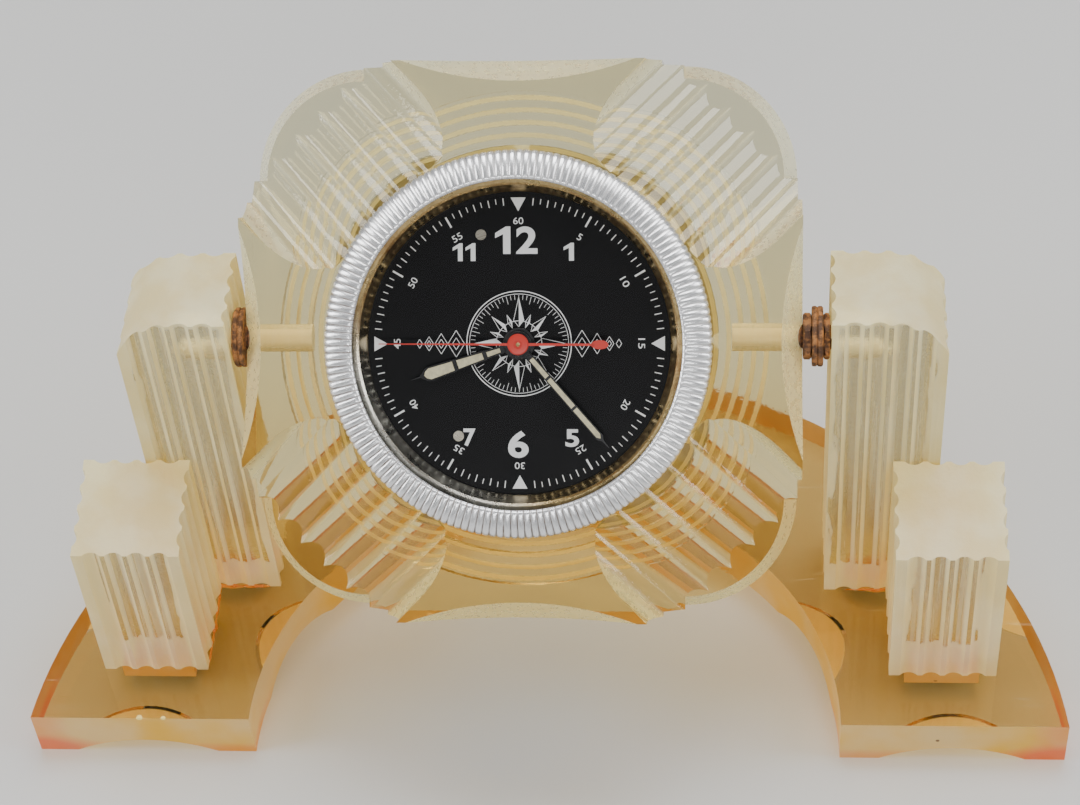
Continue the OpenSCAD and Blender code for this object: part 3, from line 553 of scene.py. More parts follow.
def stud_rust(name, colour, dark, start, end):
    """Rust where the stud is open, from start to end, and chalk where a bore holds it."""
    finish = Finish(name)
    z = finish.split(finish.spot)[2]
    rusty = finish.product(finish.step(z, start - 1.4 * MM, start),
                           finish.step(z, end, end + 1.6 * MM, 1, 0))
    bloom = finish.noise(700, 5, roughness=0.7)
    brown = finish.blend(finish.step(bloom, 0.4, 0.6), dark, colour)
    chalk = finish.blend(finish.noise(300, 4), (0.86, 0.83, 0.74), (0.74, 0.67, 0.5))
    return finish.set(Base_Color=finish.blend(rusty, chalk, brown), Roughness=0.82,
                      Normal=finish.bump(bloom, 0.2 * MM, 0.8))


def brass(name, colour, tarnish):
    """Yellow metal with cloudy tarnish."""
    finish = Finish(name, Metallic=1.0)
    cloud = finish.noise(90, 5, roughness=0.65)
    return finish.set(
        Base_Color=finish.blend(finish.step(cloud, 0.35, 0.7, 0, 0.5), colour, tarnish),
        Roughness=finish.step(cloud, 0.3, 0.7, 0.22, 0.42),
        Normal=finish.grain(1600, 0.03 * MM, 0.5),
    )


def spun_steel(name, colour):
    """Satin metal with the fine rings of the lathe around the hands' axis."""
    finish = Finish(name, Metallic=1.0)
    radius = finish.length(*finish.split(finish.as_placed(HEAD))[:2])
    across = finish.node("CombineXYZ", {"X": finish.product(radius, 5000)}).outputs[0]
    rings = finish.noise(1.0, 3, across)
    return finish.set(
        Base_Color=finish.blend(finish.step(finish.noise(70, 4), 0.4, 0.7, 0, 0.5), colour,
                                changed(colour, 0.72)),
        Roughness=finish.step(rings, 0.3, 0.7, 0.26, 0.42),
        Normal=finish.bump(rings, 0.04 * MM, 0.5),
    )


def paint(name, colour, rough, speck, shine=0.5):
    """Enamel or moulded plastic, with faint unevenness and dust."""
    finish = Finish(name, Specular_IOR_Level=shine)
    cloud = finish.noise(60, 4)
    dust = finish.step(finish.noise(2600, 2), 0.72, 0.76)
    return finish.set(
        Base_Color=finish.blend(
            finish.product(dust, 0.6), finish.blend(cloud, colour, changed(colour, 1, speck)),
            changed(colour, 1, speck * 4)),
        Roughness=finish.step(cloud, 0.3, 0.7, rough - 0.06, rough + 0.08),
        Normal=finish.grain(1800, 0.03 * MM, 0.4),
    )


def lume(name, colour):
    """Old luminous filling: chalky, uneven and a little darker in places."""
    finish = Finish(name)
    blotch = finish.noise(900, 4, roughness=0.7)
    return finish.set(
        Base_Color=finish.blend(finish.step(blotch, 0.35, 0.7), colour, changed(colour, 0.74)),
        Roughness=0.8,
        Normal=finish.bump(blotch, 0.08 * MM, 0.6),
    )


def cover_glass(name, colour):
    """Flat glass: see-through in front, and mirror-like at a grazing angle."""
    finish = Finish(name, Base_Color=colour, Metallic=1.0)
    graze = finish.node("LayerWeight", {"Blend": 0.22}).outputs["Fresnel"]
    smear = finish.noise(45)
    return finish.set(
        Alpha=finish.math("ADD", finish.step(graze, 0.02, 1.0, 0.006, 0.6),
                          finish.step(smear, 0.45, 0.8, 0, 0.008)),
        Roughness=finish.step(smear, 0.3, 0.8, 0.02, 0.1),
    )


def amber(name, colour, deep):
    """Aged cement: glossy, from honey to deep orange."""
    finish = Finish(name, IOR=1.5)
    cloud = finish.noise(260, 4)
    return finish.set(
        Base_Color=finish.blend(finish.step(cloud, 0.35, 0.65), colour, deep),
        Roughness=finish.step(cloud, 0.3, 0.7, 0.12, 0.32),
        Transmission_Weight=0.35,
        Normal=finish.grain(900, 0.1 * MM, 0.5),
    )


def dress(finish, *nodes):
    """Gives the nodes of the frame this finish."""
    for node in nodes:
        mesh = NODES[node].data
        mesh.materials.clear()
        mesh.materials.append(finish)


# Settings


def colour(name, description, default):
    return FloatVectorProperty(
        name=name, description=description, default=default, subtype="COLOR", size=3,
        min=0, max=1,
    )


def length(name, description, default):
    return FloatProperty(
        name=name, description=description, default=default, unit="LENGTH", subtype="DISTANCE",
        min=0, precision=5,
    )


class ClockAcrylicSettings(bpy.types.PropertyGroup):
    clear: colour("Clear", "Surface tint of the polished acrylic", (0.76, 0.75, 0.60))
    aged: colour("Aged", "Surface tint at the foot of the head", (0.84, 0.72, 0.38))
    smoky: colour("Smoky", "Surface tint of the base", (0.66, 0.60, 0.46))
    glow: colour("Glow", "Tint of the light that falls through a surface", (0.74, 0.62, 0.36))
    frost: colour("Frosted", "Colour of the frosted acrylic", (0.90, 0.87, 0.58))
    honey: colour("Honey", "Colour of the frosted edges at the foot of the head",
                  (0.95, 0.78, 0.26))
    post: colour("Posts", "Second colour of the frosted posts", (0.84, 0.76, 0.42))
    window: colour("Windows", "Colour of the clear parts of the posts", (0.44, 0.48, 0.46))
    # amber and burnt are a painted glow on the base's edges and outer corners; the posts' sunk
    # feet take these colours too.
    amber: colour("Amber", "Colour of the base's edges", (0.74, 0.40, 0.02))
    burnt: colour("Red glow", "Colour of the base's outer corners", (0.80, 0.12, 0.01))
    tint: colour("Depth tint", "Colour that deepens with thickness", (0.93, 0.79, 0.26))
    density: FloatProperty(
        name="Density", description="Strength of the depth tint", default=28, min=0
    )


class ClockBezelSettings(bpy.types.PropertyGroup):
    ribs: IntProperty(name="Ribs", description="Number of ribs around the bezel", default=164,
                      min=12)
    groove: length("Groove", "Depth of the grooves between the ribs", 0.24 * MM)
    plate: colour("Chrome", "Colour of the chrome", (0.90, 0.90, 0.91))
    ring: colour("Ring", "Colour of the brass ring under the crystal", (0.74, 0.55, 0.25))


class ClockDialSettings(bpy.types.PropertyGroup):
    face: colour("Face", "Colour of the dial", (0.004, 0.004, 0.0045))
    print_colour: colour("Print", "Colour of the figures and ticks", (0.90, 0.91, 0.90))
    track: length("Track", "Radius of the minute track's outer edge", 26.1 * MM)
    figure: length("Figure height", "Height of the twelve and the six", 4.9 * MM)
    side_figure: length("Side figure height", "Height of the other hour figures", 3.2 * MM)
    minute_figure: length("Minute figure height", "Height of the minute figures", 1.22 * MM)


class ClockHandSettings(bpy.types.PropertyGroup):
    lacquer: colour("Lacquer", "Colour of the hour and minute hands", (0.01, 0.01, 0.011))
    filling: colour("Filling", "Colour of the luminous filling", (0.78, 0.71, 0.46))
    red: colour("Red", "Colour of the seconds hand", (0.66, 0.035, 0.02))


class ClockHardwareSettings(bpy.types.PropertyGroup):
    thread_pitch: length("Thread pitch", "Pitch of the studs' thread", 0.8 * MM)
    thread_depth: length("Thread depth", "Depth of the studs' thread", 0.42 * MM)
    rust: colour("Rust", "Colour of the rust", (0.30, 0.13, 0.05))
    scale: colour("Scale", "Colour of the dark scale", (0.075, 0.035, 0.02))
    cement: colour("Cement", "Colour of the cement", (0.70, 0.28, 0.03))


class ClockStageSettings(bpy.types.PropertyGroup):
    floor: colour("Floor", "Colour of the floor", (0.56, 0.56, 0.55))
    sky: FloatProperty(name="Sky", description="Strength of the even light", default=0.2, min=0)


SETTINGS = {
    "acrylic": ClockAcrylicSettings,
    "bezel": ClockBezelSettings,
    "dial": ClockDialSettings,
    "hands": ClockHandSettings,
    "hardware": ClockHardwareSettings,
    "stage": ClockStageSettings,
}


def settings(name):
    return getattr(bpy.context.scene, "clock_" + name)


# Operators


class CLOCK_OT_acrylic(bpy.types.Operator):
    """Gives the base, the posts and the head block their acrylic"""

    bl_idname = "clock.acrylic"
    bl_label = "Acrylic"

    def execute(self, context):
        chosen = settings("acrylic")
        dress(acrylic("head_acrylic", chosen, HEAD, head_wear, 0.4), "head_block")
        dress(acrylic("base_acrylic", chosen, WORLD, slab_wear, 0.0), "base_slab")
        for side, outer in (("left", -1.0), ("right", 1.0)):
            for kind, window, foot in (("tall", 0.8, 0.1), ("short", 0.58, 0.24)):
                node = f"{kind}_post_{side}"
                dress(post_acrylic(node + "_acrylic", chosen, node, outer, window, foot), node)
        return {"FINISHED"}


class CLOCK_OT_bezel(bpy.types.Operator):
    """Builds the ribbed chrome bezel, and finishes the ring and the crystal under it"""

    bl_idname = "clock.bezel"
    bl_label = "Bezel"

    # a rib's section: shares of the groove's depth, over eight steps around
    CUT = (1.0, 0.55, 0.1, 0.0, 0.0, 0.0, 0.1, 0.55)

    def profile(self):
        """Radius, level, share of the groove's depth, and which way the groove is cut there."""
        inner, outer = head_radii("bezel")
        low, high = head_levels("bezel")
        shelf, skirt = high - 1.17 * MM, outer - 3.7 * MM
        plain = (0, 0)
        return (
            (inner, shelf, 0, plain), (inner, high - 0.35 * MM, 0, plain),
            (inner + 0.3 * MM, high - 0.05 * MM, 0, plain), (inner + 0.6 * MM, high, 0.2, (0, 1)),
            (inner + 0.95 * MM, high - 0.02 * MM, 1, (0, 1)),
            (inner + 2.2 * MM, high - 0.28 * MM, 1, (0.2, 1)),
            (inner + 3.4 * MM, high - 0.7 * MM, 1, (0.3, 0.95)),
            (inner + 4.4 * MM, high - 1.25 * MM, 1, (0.5, 0.87)),
            (outer - 0.25 * MM, high - 1.7 * MM, 1, (0.8, 0.6)),
            (outer, high - 2.3 * MM, 1, (1, 0)), (outer, low + 0.5 * MM, 1, (1, 0)),
            (outer - 0.3 * MM, low, 0.3, (1, 0)), (skirt, low, 0, plain), (skirt, shelf, 0, plain),
        )

    def execute(self, context):
        chosen = settings("bezel")
        profile, steps = self.profile(), len(self.CUT)
        count = chosen.ribs * steps
        rings = []
        for i in range(count):
            angle = TAU * i / count
            rib, step = divmod(i, steps)
            wear = 0.9 + 0.2 * noise.noise((rib * 1.7, 0, 3))
            tilt = 0.2 * noise.noise((rib * 2.3, 1, 7)) * (step / steps - 0.5)
            depth = chosen.groove * (self.CUT[step] * wear + max(0, tilt))
            lean = 0.09 * noise.noise((rib * 0.9, 5, 0)) / chosen.ribs
            rings.append([
                (*polar(radius - depth * share * way[0], angle + lean),
                 level - depth * share * way[1])
                for radius, level, share, way in profile])
        plate = chrome("ribbed_chrome", chosen.plate, chosen.ribs)
        Shape().loft(rings).piece("bezel_ribbed", "head", plate, "chrome", HEAD, ["bezel"],
                                  crease=50)
        dress(ring_brass("tarnished_ring", chosen.ring), "reflector_ring")
        dress(cover_glass("cover_glass", (0.95, 0.97, 1.0)), "crystal")
        return {"FINISHED"}


def bar(shape, start, end, half, angle, level):
    """A printed line from one radius to another, at this angle."""
    shape.stroke(polar(start, angle), polar(end, angle), half, level)


def figures(shape, words, width, height, spot, turn, level, weight):
    """Prints plain figures, scaled to this width and height."""
    curve = bpy.data.curves.new("figures", "FONT")
    curve.body = words
    curve.offset = weight
    curve.resolution_u = 5
    carrier = new_object("figures", curve)
    seen = carrier.evaluated_get(bpy.context.evaluated_depsgraph_get())
    mesh = seen.to_mesh()
    points = [vertex.co.copy() for vertex in mesh.vertices]
    faces = [tuple(polygon.vertices) for polygon in mesh.polygons]
    seen.to_mesh_clear()
    bpy.data.objects.remove(carrier)
    low, high = (Vector((pick(p.x for p in points), pick(p.y for p in points), 0))
                 for pick in (min, max))
    size = high - low
    fit = (Matrix.Translation((*spot, level)) @ Matrix.Rotation(turn, 4, "Z")
           @ Matrix.Diagonal((width / size.x, height / size.y, 1, 1))
           @ Matrix.Translation((low + high) / -2))
    shape.add([fit @ point for point in points], faces)


def size_for(sizes, number):
    """The first row of sizes whose step, its first value, divides the number."""
    return next(row[1:] for row in sizes if number % row[0] == 0)


class CLOCK_OT_dial(bpy.types.Operator):
    """Finishes the dial, and prints its minute track, figures and line ornament"""

    bl_idname = "clock.dial"
    bl_label = "Dial"

    # outline of the figure one, in shares of its width and height
    ONE = ((0.5, -0.5), (0.5, 0.5), (0.2, 0.5), (-0.5, 0.26), (-0.5, 0.08), (0.02, 0.22),
           (0.02, -0.5))
    # the hour figures: words, width as a share of the height, and spot in millimetres
    TALL = (("1", 0.56, -2.8, 18.5), ("2", 0.78, 1.5, 18.5), ("6", 0.76, -0.25, -18.1))
    SMALL = (("1", 0.56, -10.9, 16.4), ("1", 0.56, -8.6, 16.4), ("1", 0.58, 9.0, 16.4),
             ("5", 0.77, 9.46, -16.95), ("7", 0.68, -9.05, -16.85))
    # ticks: every so many half minutes, length and half width in millimetres
    TICKS = ((10, 2.1, 0.17), (2, 1.3, 0.085), (1, 0.95, 0.07))
    TRIANGLE = (2.45, 1.35)  # the quarters' length and half width
    # in millimetres: radius and half width of the star's rings, where its rays start, reach and
    # half width of its points, both at every so many, and distance and reach of the lozenges
    RINGS = ((9.4, 0.09), (8.9, 0.05), (4.1, 0.06))
    RAYS = ((3, 7.3), (1, 7.9))
    POINTS = ((4, 8.4, 0.95), (2, 6.9, 0.7), (1, 5.6, 0.4))
    LOZENGES = ((11.3, 1.5), (14.0, 1.15), (16.2, 0.8), (17.9, 0.5))

    def execute(self, context):
        chosen = settings("dial")
        dress(paint("dial_enamel", chosen.face, 0.45, 0.003, 0.12), "dial")
        dress(spun_steel("screw_nickel", (0.40, 0.37, 0.30)), "dial_screws")
        level = head_levels("dial")[1] + 0.03 * MM
        shape = Shape()
        self.track(shape, chosen, level)
        self.hours(shape, chosen, level)
        self.ornament(shape, level)
        ink = paint("dial_ink", chosen.print_colour, 0.55, 0.03)
        shape.piece("dial_print", "head", ink, "dial_black", HEAD)
        return {"FINISHED"}

    def track(self, shape, chosen, level):
        """Minute and half-minute ticks, triangles at the quarters, and the minute figures."""
        edge = chosen.track
        for tick in range(120):
            angle = math.pi / 2 - TAU * tick / 120
            quarter = min(tick % 30, 30 - tick % 30)
            if quarter == 0:
                reach, half = self.TRIANGLE
                x, y = polar(edge, angle)
                tip = polar(edge - reach * MM, angle)
                side = Vector(polar(half * MM, angle + math.pi / 2))
                shape.slab([tip, (x - side.x, y - side.y), (x + side.x, y + side.y)],
                           level - INK, level)
            elif quarter > 1:
                reach, half = size_for(self.TICKS, tick)
                bar(shape, edge - reach * MM, edge, half * MM, angle, level)
        for minute in range(5, 65, 5):
            angle = math.pi / 2 - TAU * minute / 60
            width = chosen.minute_figure * (0.62 if minute < 10 else 1.5)
            figures(shape, str(minute), width, chosen.minute_figure,
                    polar(edge - 4.15 * MM, angle), angle - math.pi / 2, level, 0.004)

    def hours(self, shape, chosen, level):
        """The hour figures: a tall twelve and six, and smaller ones beside them."""
        for height, row in ((chosen.figure, self.TALL), (chosen.side_figure, self.SMALL)):
            for words, share, x, y in row:
                width = height * share
                if words == "1":
                    shape.add([(x * MM + u * width, y * MM + v * height, level)
                               for u, v in self.ONE], [range(len(self.ONE))])
                else:
                    figures(shape, words, width, height, (x * MM, y * MM), 0, level, 0.03)

    def ornament(self, shape, level):
        """A plain line ornament: a rayed star in two rings, with a row of lozenges each side."""
        for radius, half in self.RINGS:
            inner, outer, low = (radius - half) * MM, (radius + half) * MM, level - INK
            section = ((inner, level), (outer, level), (outer, low), (inner, low))
            shape.lathe(96, lambda step: section)
        for ray in range(72):
            start, = size_for(self.RAYS, ray)
            bar(shape, start * MM, 8.7 * MM, 0.04 * MM, TAU * ray / 72, level)
        for point in range(16):
            angle = TAU * point / 16
            reach, half = size_for(self.POINTS, point)
            tip, root = Vector(polar(reach * MM, angle)), Vector(polar(3.0 * MM, angle))
            side = Vector(polar(half * MM, angle + math.pi / 2))
            middle = Vector(polar(4.2 * MM, angle))
            shape.slab([root, middle - side, tip], level - INK, level)
            for start, end in ((root, middle + side), (middle + side, tip)):
                shape.stroke(start, end, 0.045 * MM, level)
        for side in (-1, 1):
            for at, reach in self.LOZENGES:
                self.lozenge(shape, side * at * MM, reach * MM, level)
                if (at, reach) != self.LOZENGES[-1]:
                    self.lozenge(shape, side * at * MM, reach * 0.45 * MM, level)

    def lozenge(self, shape, x, reach, level):
        corners = [(x + reach, 0), (x, reach * 1.6), (x - reach, 0), (x, -reach * 1.6)]
        for start, end in zip(corners, corners[1:] + corners[:1]):
            shape.stroke(start, end, 0.055 * MM, level)


class CLOCK_OT_hands(bpy.types.Operator):
    """Builds the lacquered hands with their luminous filling, and the red seconds hand"""

    bl_idname = "clock.hands"
    bl_label = "Hands"

    # outlines as pairs of distance from the hands' axis and half width, in millimetres
    HOUR = ((2.5, 0.5), (3.2, 0.72), (6.2, 0.78), (6.5, 0.9), (11.9, 1.08), (12.2, 1.16),
            (17.3, 1.32), (18.3, 0.55), (18.8, 0.13), (20.6, 0.05))
    HOUR_FILLING = (((3.5, 0.38), (6.0, 0.46)), ((6.8, 0.6), (11.6, 0.8)),
                    ((12.4, 0.85), (16.9, 1.02), (17.6, 0.6), (17.9, 0.05)))
    MINUTE = ((2.1, 0.45), (3.2, 0.62), (22.2, 0.66), (22.9, 0.14), (24.6, 0.05))
    MINUTE_FILLING = (((3.5, 0.4), (7.8, 0.42)), ((8.3, 0.42), (14.9, 0.44)),
                      ((15.4, 0.44), (21.7, 0.46), (22.3, 0.05)))
    SECONDS = (((1.2, 0.22), (12.0, 0.15), (25.0, 0.075)), ((-13.6, 0.2), (-1.2, 0.24)))
    # pairs of radius and level, in millimetres
    SECONDS_HUB = ((1.9, 0), (1.9, 0.22), (1.72, 0.42), (1.3, 0.5), (0.72, 0.5), (0.66, 0.42),
                   (0.58, 0.5))
    SECONDS_PIN = ((0.36, 0.3), (0.36, 0.58), (0.26, 0.66))

    def execute(self, context):
        chosen = settings("hands")
        lacquer = paint("hand_lacquer", chosen.lacquer, 0.28, 0.006)
        filling = lume("hand_lume", chosen.filling)
        red = paint("hand_red", chosen.red, 0.42, 0.01)
        for kind, outline, cells, hub in (("hour", self.HOUR, self.HOUR_FILLING, 2.85 * MM),
                                          ("minute", self.MINUTE, self.MINUTE_FILLING, 2.3 * MM)):
            node, body = kind + "_hand", kind + "_set"
            turn = hand_turn(node)
            low, high = head_levels(node)
            shape = Shape()
            shape.slab(self.outline(outline, turn), low, high, 0.04 * MM)
            shape.closed_loft([ring_points(hub, low, 64), ring_points(hub, high - 0.05 * MM, 64),
                               ring_points(hub - 0.06 * MM, high, 64)])
            shape.piece(node + "_lacquer", body, lacquer, "hand_black", HEAD, [node])
            inlay = Shape()
            for cell in cells:
                inlay.slab(self.outline(cell, turn), high - 0.05 * MM, high + 0.06 * MM, 0.05 * MM)
            inlay.piece(node + "_lume", body, filling, "hand_black", HEAD)
        low, high = head_levels("seconds_hand")
        turn = hand_turn("seconds_hand")
        shape = Shape()
        for part in self.SECONDS:
            shape.slab(self.outline(part, turn), low, high, 0.03 * MM)
        weight = [(0.82 * MM * math.cos(angle), -14.6 * MM + 1.55 * MM * math.sin(angle))
                  for angle in (TAU * i / 32 for i in range(32))]
        shape.slab(turned(weight, turn), low, high, 0.04 * MM)
        shape.knob(self.SECONDS_HUB, low, 64)
        shape.piece("seconds_hand_red", "seconds_set", red, "hand_red", HEAD, ["seconds_hand"])
        metal = brass("pin_brass", (0.5, 0.36, 0.16), (0.12, 0.07, 0.03))
        Shape().knob(self.SECONDS_PIN, low, 32).piece(
            "seconds_pin", "seconds_set", metal, "contact_brass", HEAD)
        return {"FINISHED"}

    def outline(self, widths, turn):
        return turned(tapered([(along * MM, half * MM) for along, half in widths]), turn)


def sideways(x, side):
    """Place of a turned part on the tilt axis, its Z running outwards from this X."""
    place = Matrix.Rotation(side * math.pi / 2, 4, "Y")
    place.translation = Vector((x, PIVOT.y, PIVOT.z))
    return place


class CLOCK_OT_hardware(bpy.types.Operator):
    """Builds the rusty threaded studs, washers and nuts, and finishes the cement"""

    bl_idname = "clock.hardware"
    bl_label = "Hardware"

    HOLE = 2.55 * MM
    # post, where its bead starts and ends along the edge, and thickness in millimetres
    BEADS = (("tall_post_left", 0.12, 0.9, 0.7), ("tall_post_right", 0.2, 0.95, 0.5),
             ("short_post_left", 0.02, 0.98, 0.5))
    # section of a bead, outwards and upwards, in shares of its thickness
    BEAD = ((-0.9, 0.02), (-0.9, 0.55), (-0.2, 0.62), (0.4, 0.42), (0.85, 0.14), (1.0, 0.02))

    def execute(self, context):
        chosen = settings("hardware")
        rusty = rust("rusty_steel", chosen.rust, chosen.scale)
        for side, name in ((-1, "left"), (1, "right")):
            self.stud(chosen, name, side)
            self.washers(name, side, rusty)
        self.nut("head_nut", rusty)
        self.nut("lock_nut", rusty)
        resin = amber("amber_cement", chosen.cement, (0.62, 0.17, 0.02))
        dress(resin, "post_cement")
        self.feet(resin)
        return {"FINISHED"}

    def stud(self, chosen, name, side):
        """A threaded stud with chamfered ends, from inside the head outwards."""
        node = "pivot_stud_" + name
        low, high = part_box(node)
        radius = (high.z - low.z) / 2
        reach = high.x - low.x
        start = low.x if side > 0 else high.x
        steps, around = int(reach / chosen.thread_pitch * 8), 32
        rings = []
        for i in range(steps + 1):
            along = reach * i / steps
            chamfer = 0.5 * MM - min(along, reach - along)
            ring = []
            for j in range(around):
                phase = (along / chosen.thread_pitch + j / around) % 1
                dip = max(chosen.thread_depth * abs(2 * phase - 1), chamfer)
                ring.append((*polar(radius - dip, TAU * j / around), along))
            rings.append(ring)
        gap = abs(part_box("head_block")[0 if side < 0 else 1].x - start)
        finish = stud_rust("stud_steel_" + name, chosen.rust, chosen.scale, gap - 0.4 * MM,
                           gap + 6.2 * MM)
        Shape().closed_loft(rings).piece("stud_threaded_" + name, "head", finish, "rusty_steel",
                                         sideways(start, side), [node])

    def washers(self, name, side, finish):
        """Two thin washers, their rims bitten by rust."""
        node = "washers_" + name
        low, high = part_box(node)
        outer = (high.z - low.z) / 2
        thick = (high.x - low.x) / 2 - 0.01 * MM
        start = low.x if side > 0 else high.x
        shape = Shape()
        for index in (0, 1):
            base = index * (thick + 0.02 * MM)
            top = base + thick

            def section(step):
                rim = outer - abs(0.16 * MM * noise.noise((*polar(3, TAU * step / 72), index * 7)))
                return ((self.HOLE, base), (rim - 0.2 * MM, base), (rim, base + 0.2 * MM),
                        (rim, top - 0.25 * MM), (rim - 0.25 * MM, top), (self.HOLE, top))

            shape.lathe(72, section)
        shape.piece("rusty_" + node, "head", finish, "rusty_steel", sideways(start, side), [node])

    def nut(self, node, finish):
        """A hexagon nut with turned corners."""
        low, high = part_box(node)
        flats = (high.y - low.y) / 2 * math.cos(math.pi / 6)
        thick = high.x - low.x

        def section(step):
            angle = (TAU * step / 96 + math.pi / 6) % (math.pi / 3) - math.pi / 6
            hexagon = flats / math.cos(angle)
            drop = (hexagon - flats) * 0.55
            return ((self.HOLE, 0), (flats * 0.98, 0), (hexagon, drop), (hexagon, thick - drop),
                    (flats * 0.98, thick), (2.95 * MM, thick), (self.HOLE, thick - 0.3 * MM))

        Shape().lathe(96, section).piece("rusty_" + node, "head", finish, "rusty_steel",
                                         sideways(low.x, 1), [node])

    def feet(self, finish):
        """The beads of cement at the front of the tall posts and beside a short one."""
        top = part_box("base_slab")[1].z
        for name, start, end, thick in self.BEADS:
            low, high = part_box(name)
            front = name.startswith("tall")
            out, up = Vector((0, -1, 0) if front else (1, 0, 0)), Vector((0, 0, 1))
            rings = []
            for i in range(40):
                share = start + (end - start) * i / 39
                swell = 0.55 + 0.9 * noise.noise((share * 9, len(name), 3))
                bead = thick * max(0.15, swell) * math.sin(math.pi * (i + 0.4) / 40) ** 0.4 * MM
                spot = Vector((low.x + (high.x - low.x) * share, low.y, top) if front else
                              (high.x, low.y + (high.y - low.y) * share, top))
                rings.append([spot + out * a * bead + up * b * bead for a, b in self.BEAD])
            Shape().closed_loft(rings).piece("cement_" + name, "stand", finish, "cement")


class CLOCK_OT_movement(bpy.types.Operator):
    """Finishes the case, the movement inside it and the setting knob"""

    bl_idname = "clock.movement"
    bl_label = "Movement"

    def execute(self, context):
        dress(spun_steel("case_steel", (0.62, 0.60, 0.55)), "case_can")
        dress(spun_steel("hatch_steel", (0.40, 0.38, 0.34)), "cell_hatch")
        dress(spun_steel("clamp_steel", (0.52, 0.50, 0.45)), "clamp_ring")
        dress(paint("black_moulding", (0.035, 0.035, 0.038), 0.42, 0.01), "movement_plate",
              "movement_cover", "setting_knob")
        dress(paint("board_green", (0.03, 0.16, 0.07), 0.35, 0.02), "circuit_board")
        dress(paint("wheel_ivory", (0.80, 0.75, 0.60), 0.5, 0.02), "idler_wheel",
              "seconds_wheel", "third_wheel", "centre_wheel", "minute_wheel")
        dress(brass("pipe_brass", (0.78, 0.60, 0.28), (0.45, 0.30, 0.12)), "cannon_pinion",
              "hour_wheel", "cell_contact")
        dress(brass("winding_copper", (0.72, 0.32, 0.14), (0.40, 0.15, 0.07)), "coil")
        dress(paint("magnet_grey", (0.10, 0.10, 0.11), 0.5, 0.01), "rotor")
        dress(spun_steel("core_steel", (0.52, 0.52, 0.52)), "stator", "button_cell")
        return {"FINISHED"}


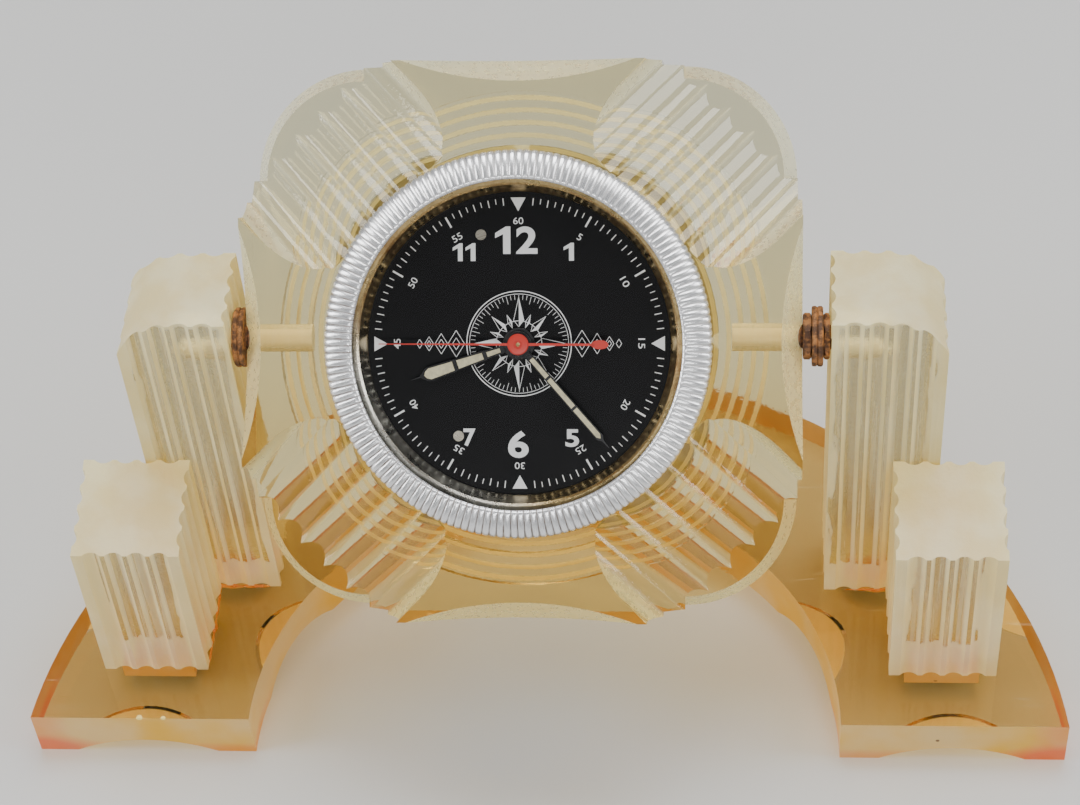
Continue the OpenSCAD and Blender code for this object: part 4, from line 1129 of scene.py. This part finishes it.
class CLOCK_OT_stage(bpy.types.Operator):
    """Sets the pale floor, the soft lights and the camera"""

    bl_idname = "clock.stage"
    bl_label = "Stage"

    # the photograph's camera, measured from the middle of the base's front edge, in
    # millimetres, with its elevation and yaw in degrees and its roll in radians
    CAMERA = (40.607, -288.148, 444.593)
    ELEVATION, YAW, ROLL = 49.39991, 6.98457, -0.092432
    SENSOR = 36
    LENS = 2701.637 / 1080 * SENSOR
    # softboxes: name, spot, width, height and power
    LIGHTS = (("softbox_top", (0.05, 0.3, 0.95), 0.7, 0.45, 9.0),
              ("softbox_left", (-0.75, -0.15, 0.4), 0.3, 0.7, 5.5),
              ("softbox_right", (0.8, -0.05, 0.45), 0.3, 0.7, 5.0),
              ("softbox_front", (0.1, -0.9, 0.5), 0.8, 0.2, 4.5))

    def execute(self, context):
        chosen = settings("stage")
        self.floor(chosen)
        self.camera(context)
        world = context.scene.world or bpy.data.worlds.new("studio")
        context.scene.world = world
        world.use_nodes = True
        background = world.node_tree.nodes["Background"]
        background.inputs["Color"].default_value = (0.93, 0.96, 1.0, 1)
        background.inputs["Strength"].default_value = chosen.sky
        for light in self.LIGHTS:
            self.softbox(*light)
        return {"FINISHED"}

    def floor(self, chosen):
        half, level = 2.2, -0.02 * MM
        mesh = bpy.data.meshes.new("floor")
        mesh.from_pydata([(-half, -half, level), (half, -half, level), (half, half, level),
                          (-half, half, level)], [], [(0, 1, 2, 3)])
        finish = Finish("floor_paper", Base_Color=chosen.floor)
        finish.set(Roughness=finish.step(finish.noise(30), 0.3, 0.7, 0.6, 0.7))
        mesh.materials.append(finish.material)
        new_object("floor", mesh)

    def camera(self, context):
        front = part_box("base_slab")[0].y
        tilt, yaw = math.radians(self.ELEVATION), math.radians(self.YAW)
        back = Vector((math.sin(yaw) * math.cos(tilt), -math.cos(yaw) * math.cos(tilt),
                       math.sin(tilt)))
        right = (-back).cross(Vector((0, 0, 1))).normalized()
        up = right.cross(-back)
        turn = Matrix((right, up, back)).transposed() @ Matrix.Rotation(self.ROLL, 3, "Z")
        data = bpy.data.cameras.new("camera")
        data.sensor_width, data.lens = self.SENSOR, self.LENS
        spot = Vector(self.CAMERA) * MM + Vector((0, front, 0))
        context.scene.camera = new_object(
            "camera", data, Matrix.Translation(spot) @ turn.to_4x4())

    def softbox(self, name, spot, width, height, power):
        data = bpy.data.lights.new(name, "AREA")
        data.shape, data.size, data.size_y, data.energy = "RECTANGLE", width, height, power
        spot = Vector(spot)
        aim = (Vector((0, 0, 0.05)) - spot).to_track_quat("-Z", "Y")
        new_object(name, data, Matrix.Translation(spot) @ aim.to_matrix().to_4x4())


OPERATORS = (CLOCK_OT_acrylic, CLOCK_OT_bezel, CLOCK_OT_dial, CLOCK_OT_hands, CLOCK_OT_hardware,
             CLOCK_OT_movement, CLOCK_OT_stage)


class CLOCK_PT_panel(bpy.types.Panel):
    """The clock's pieces and their settings"""

    bl_idname = "CLOCK_PT_panel"
    bl_label = "Desk clock"
    bl_space_type = "VIEW_3D"
    bl_region_type = "UI"
    bl_category = "Desk clock"

    def draw(self, context):
        for operator in OPERATORS:
            self.layout.operator(operator.bl_idname)
        for name, group in SETTINGS.items():
            box = self.layout.box()
            box.label(text=name.capitalize())
            for key in group.__annotations__:
                box.prop(settings(name), key)


CLASSES = (*SETTINGS.values(), *OPERATORS, CLOCK_PT_panel)


def register():
    for group in CLASSES:
        bpy.utils.register_class(group)
    for name, group in SETTINGS.items():
        setattr(bpy.types.Scene, "clock_" + name, PointerProperty(type=group))


def unregister():
    for name in SETTINGS:
        delattr(bpy.types.Scene, "clock_" + name)
    for group in reversed(CLASSES):
        bpy.utils.unregister_class(group)


def main():
    register()
    for operator in OPERATORS:
        family, name = operator.bl_idname.split(".")
        getattr(getattr(bpy.ops, family), name)()
    bpy.context.view_layer.update()


if __name__ == "__main__":
    main()
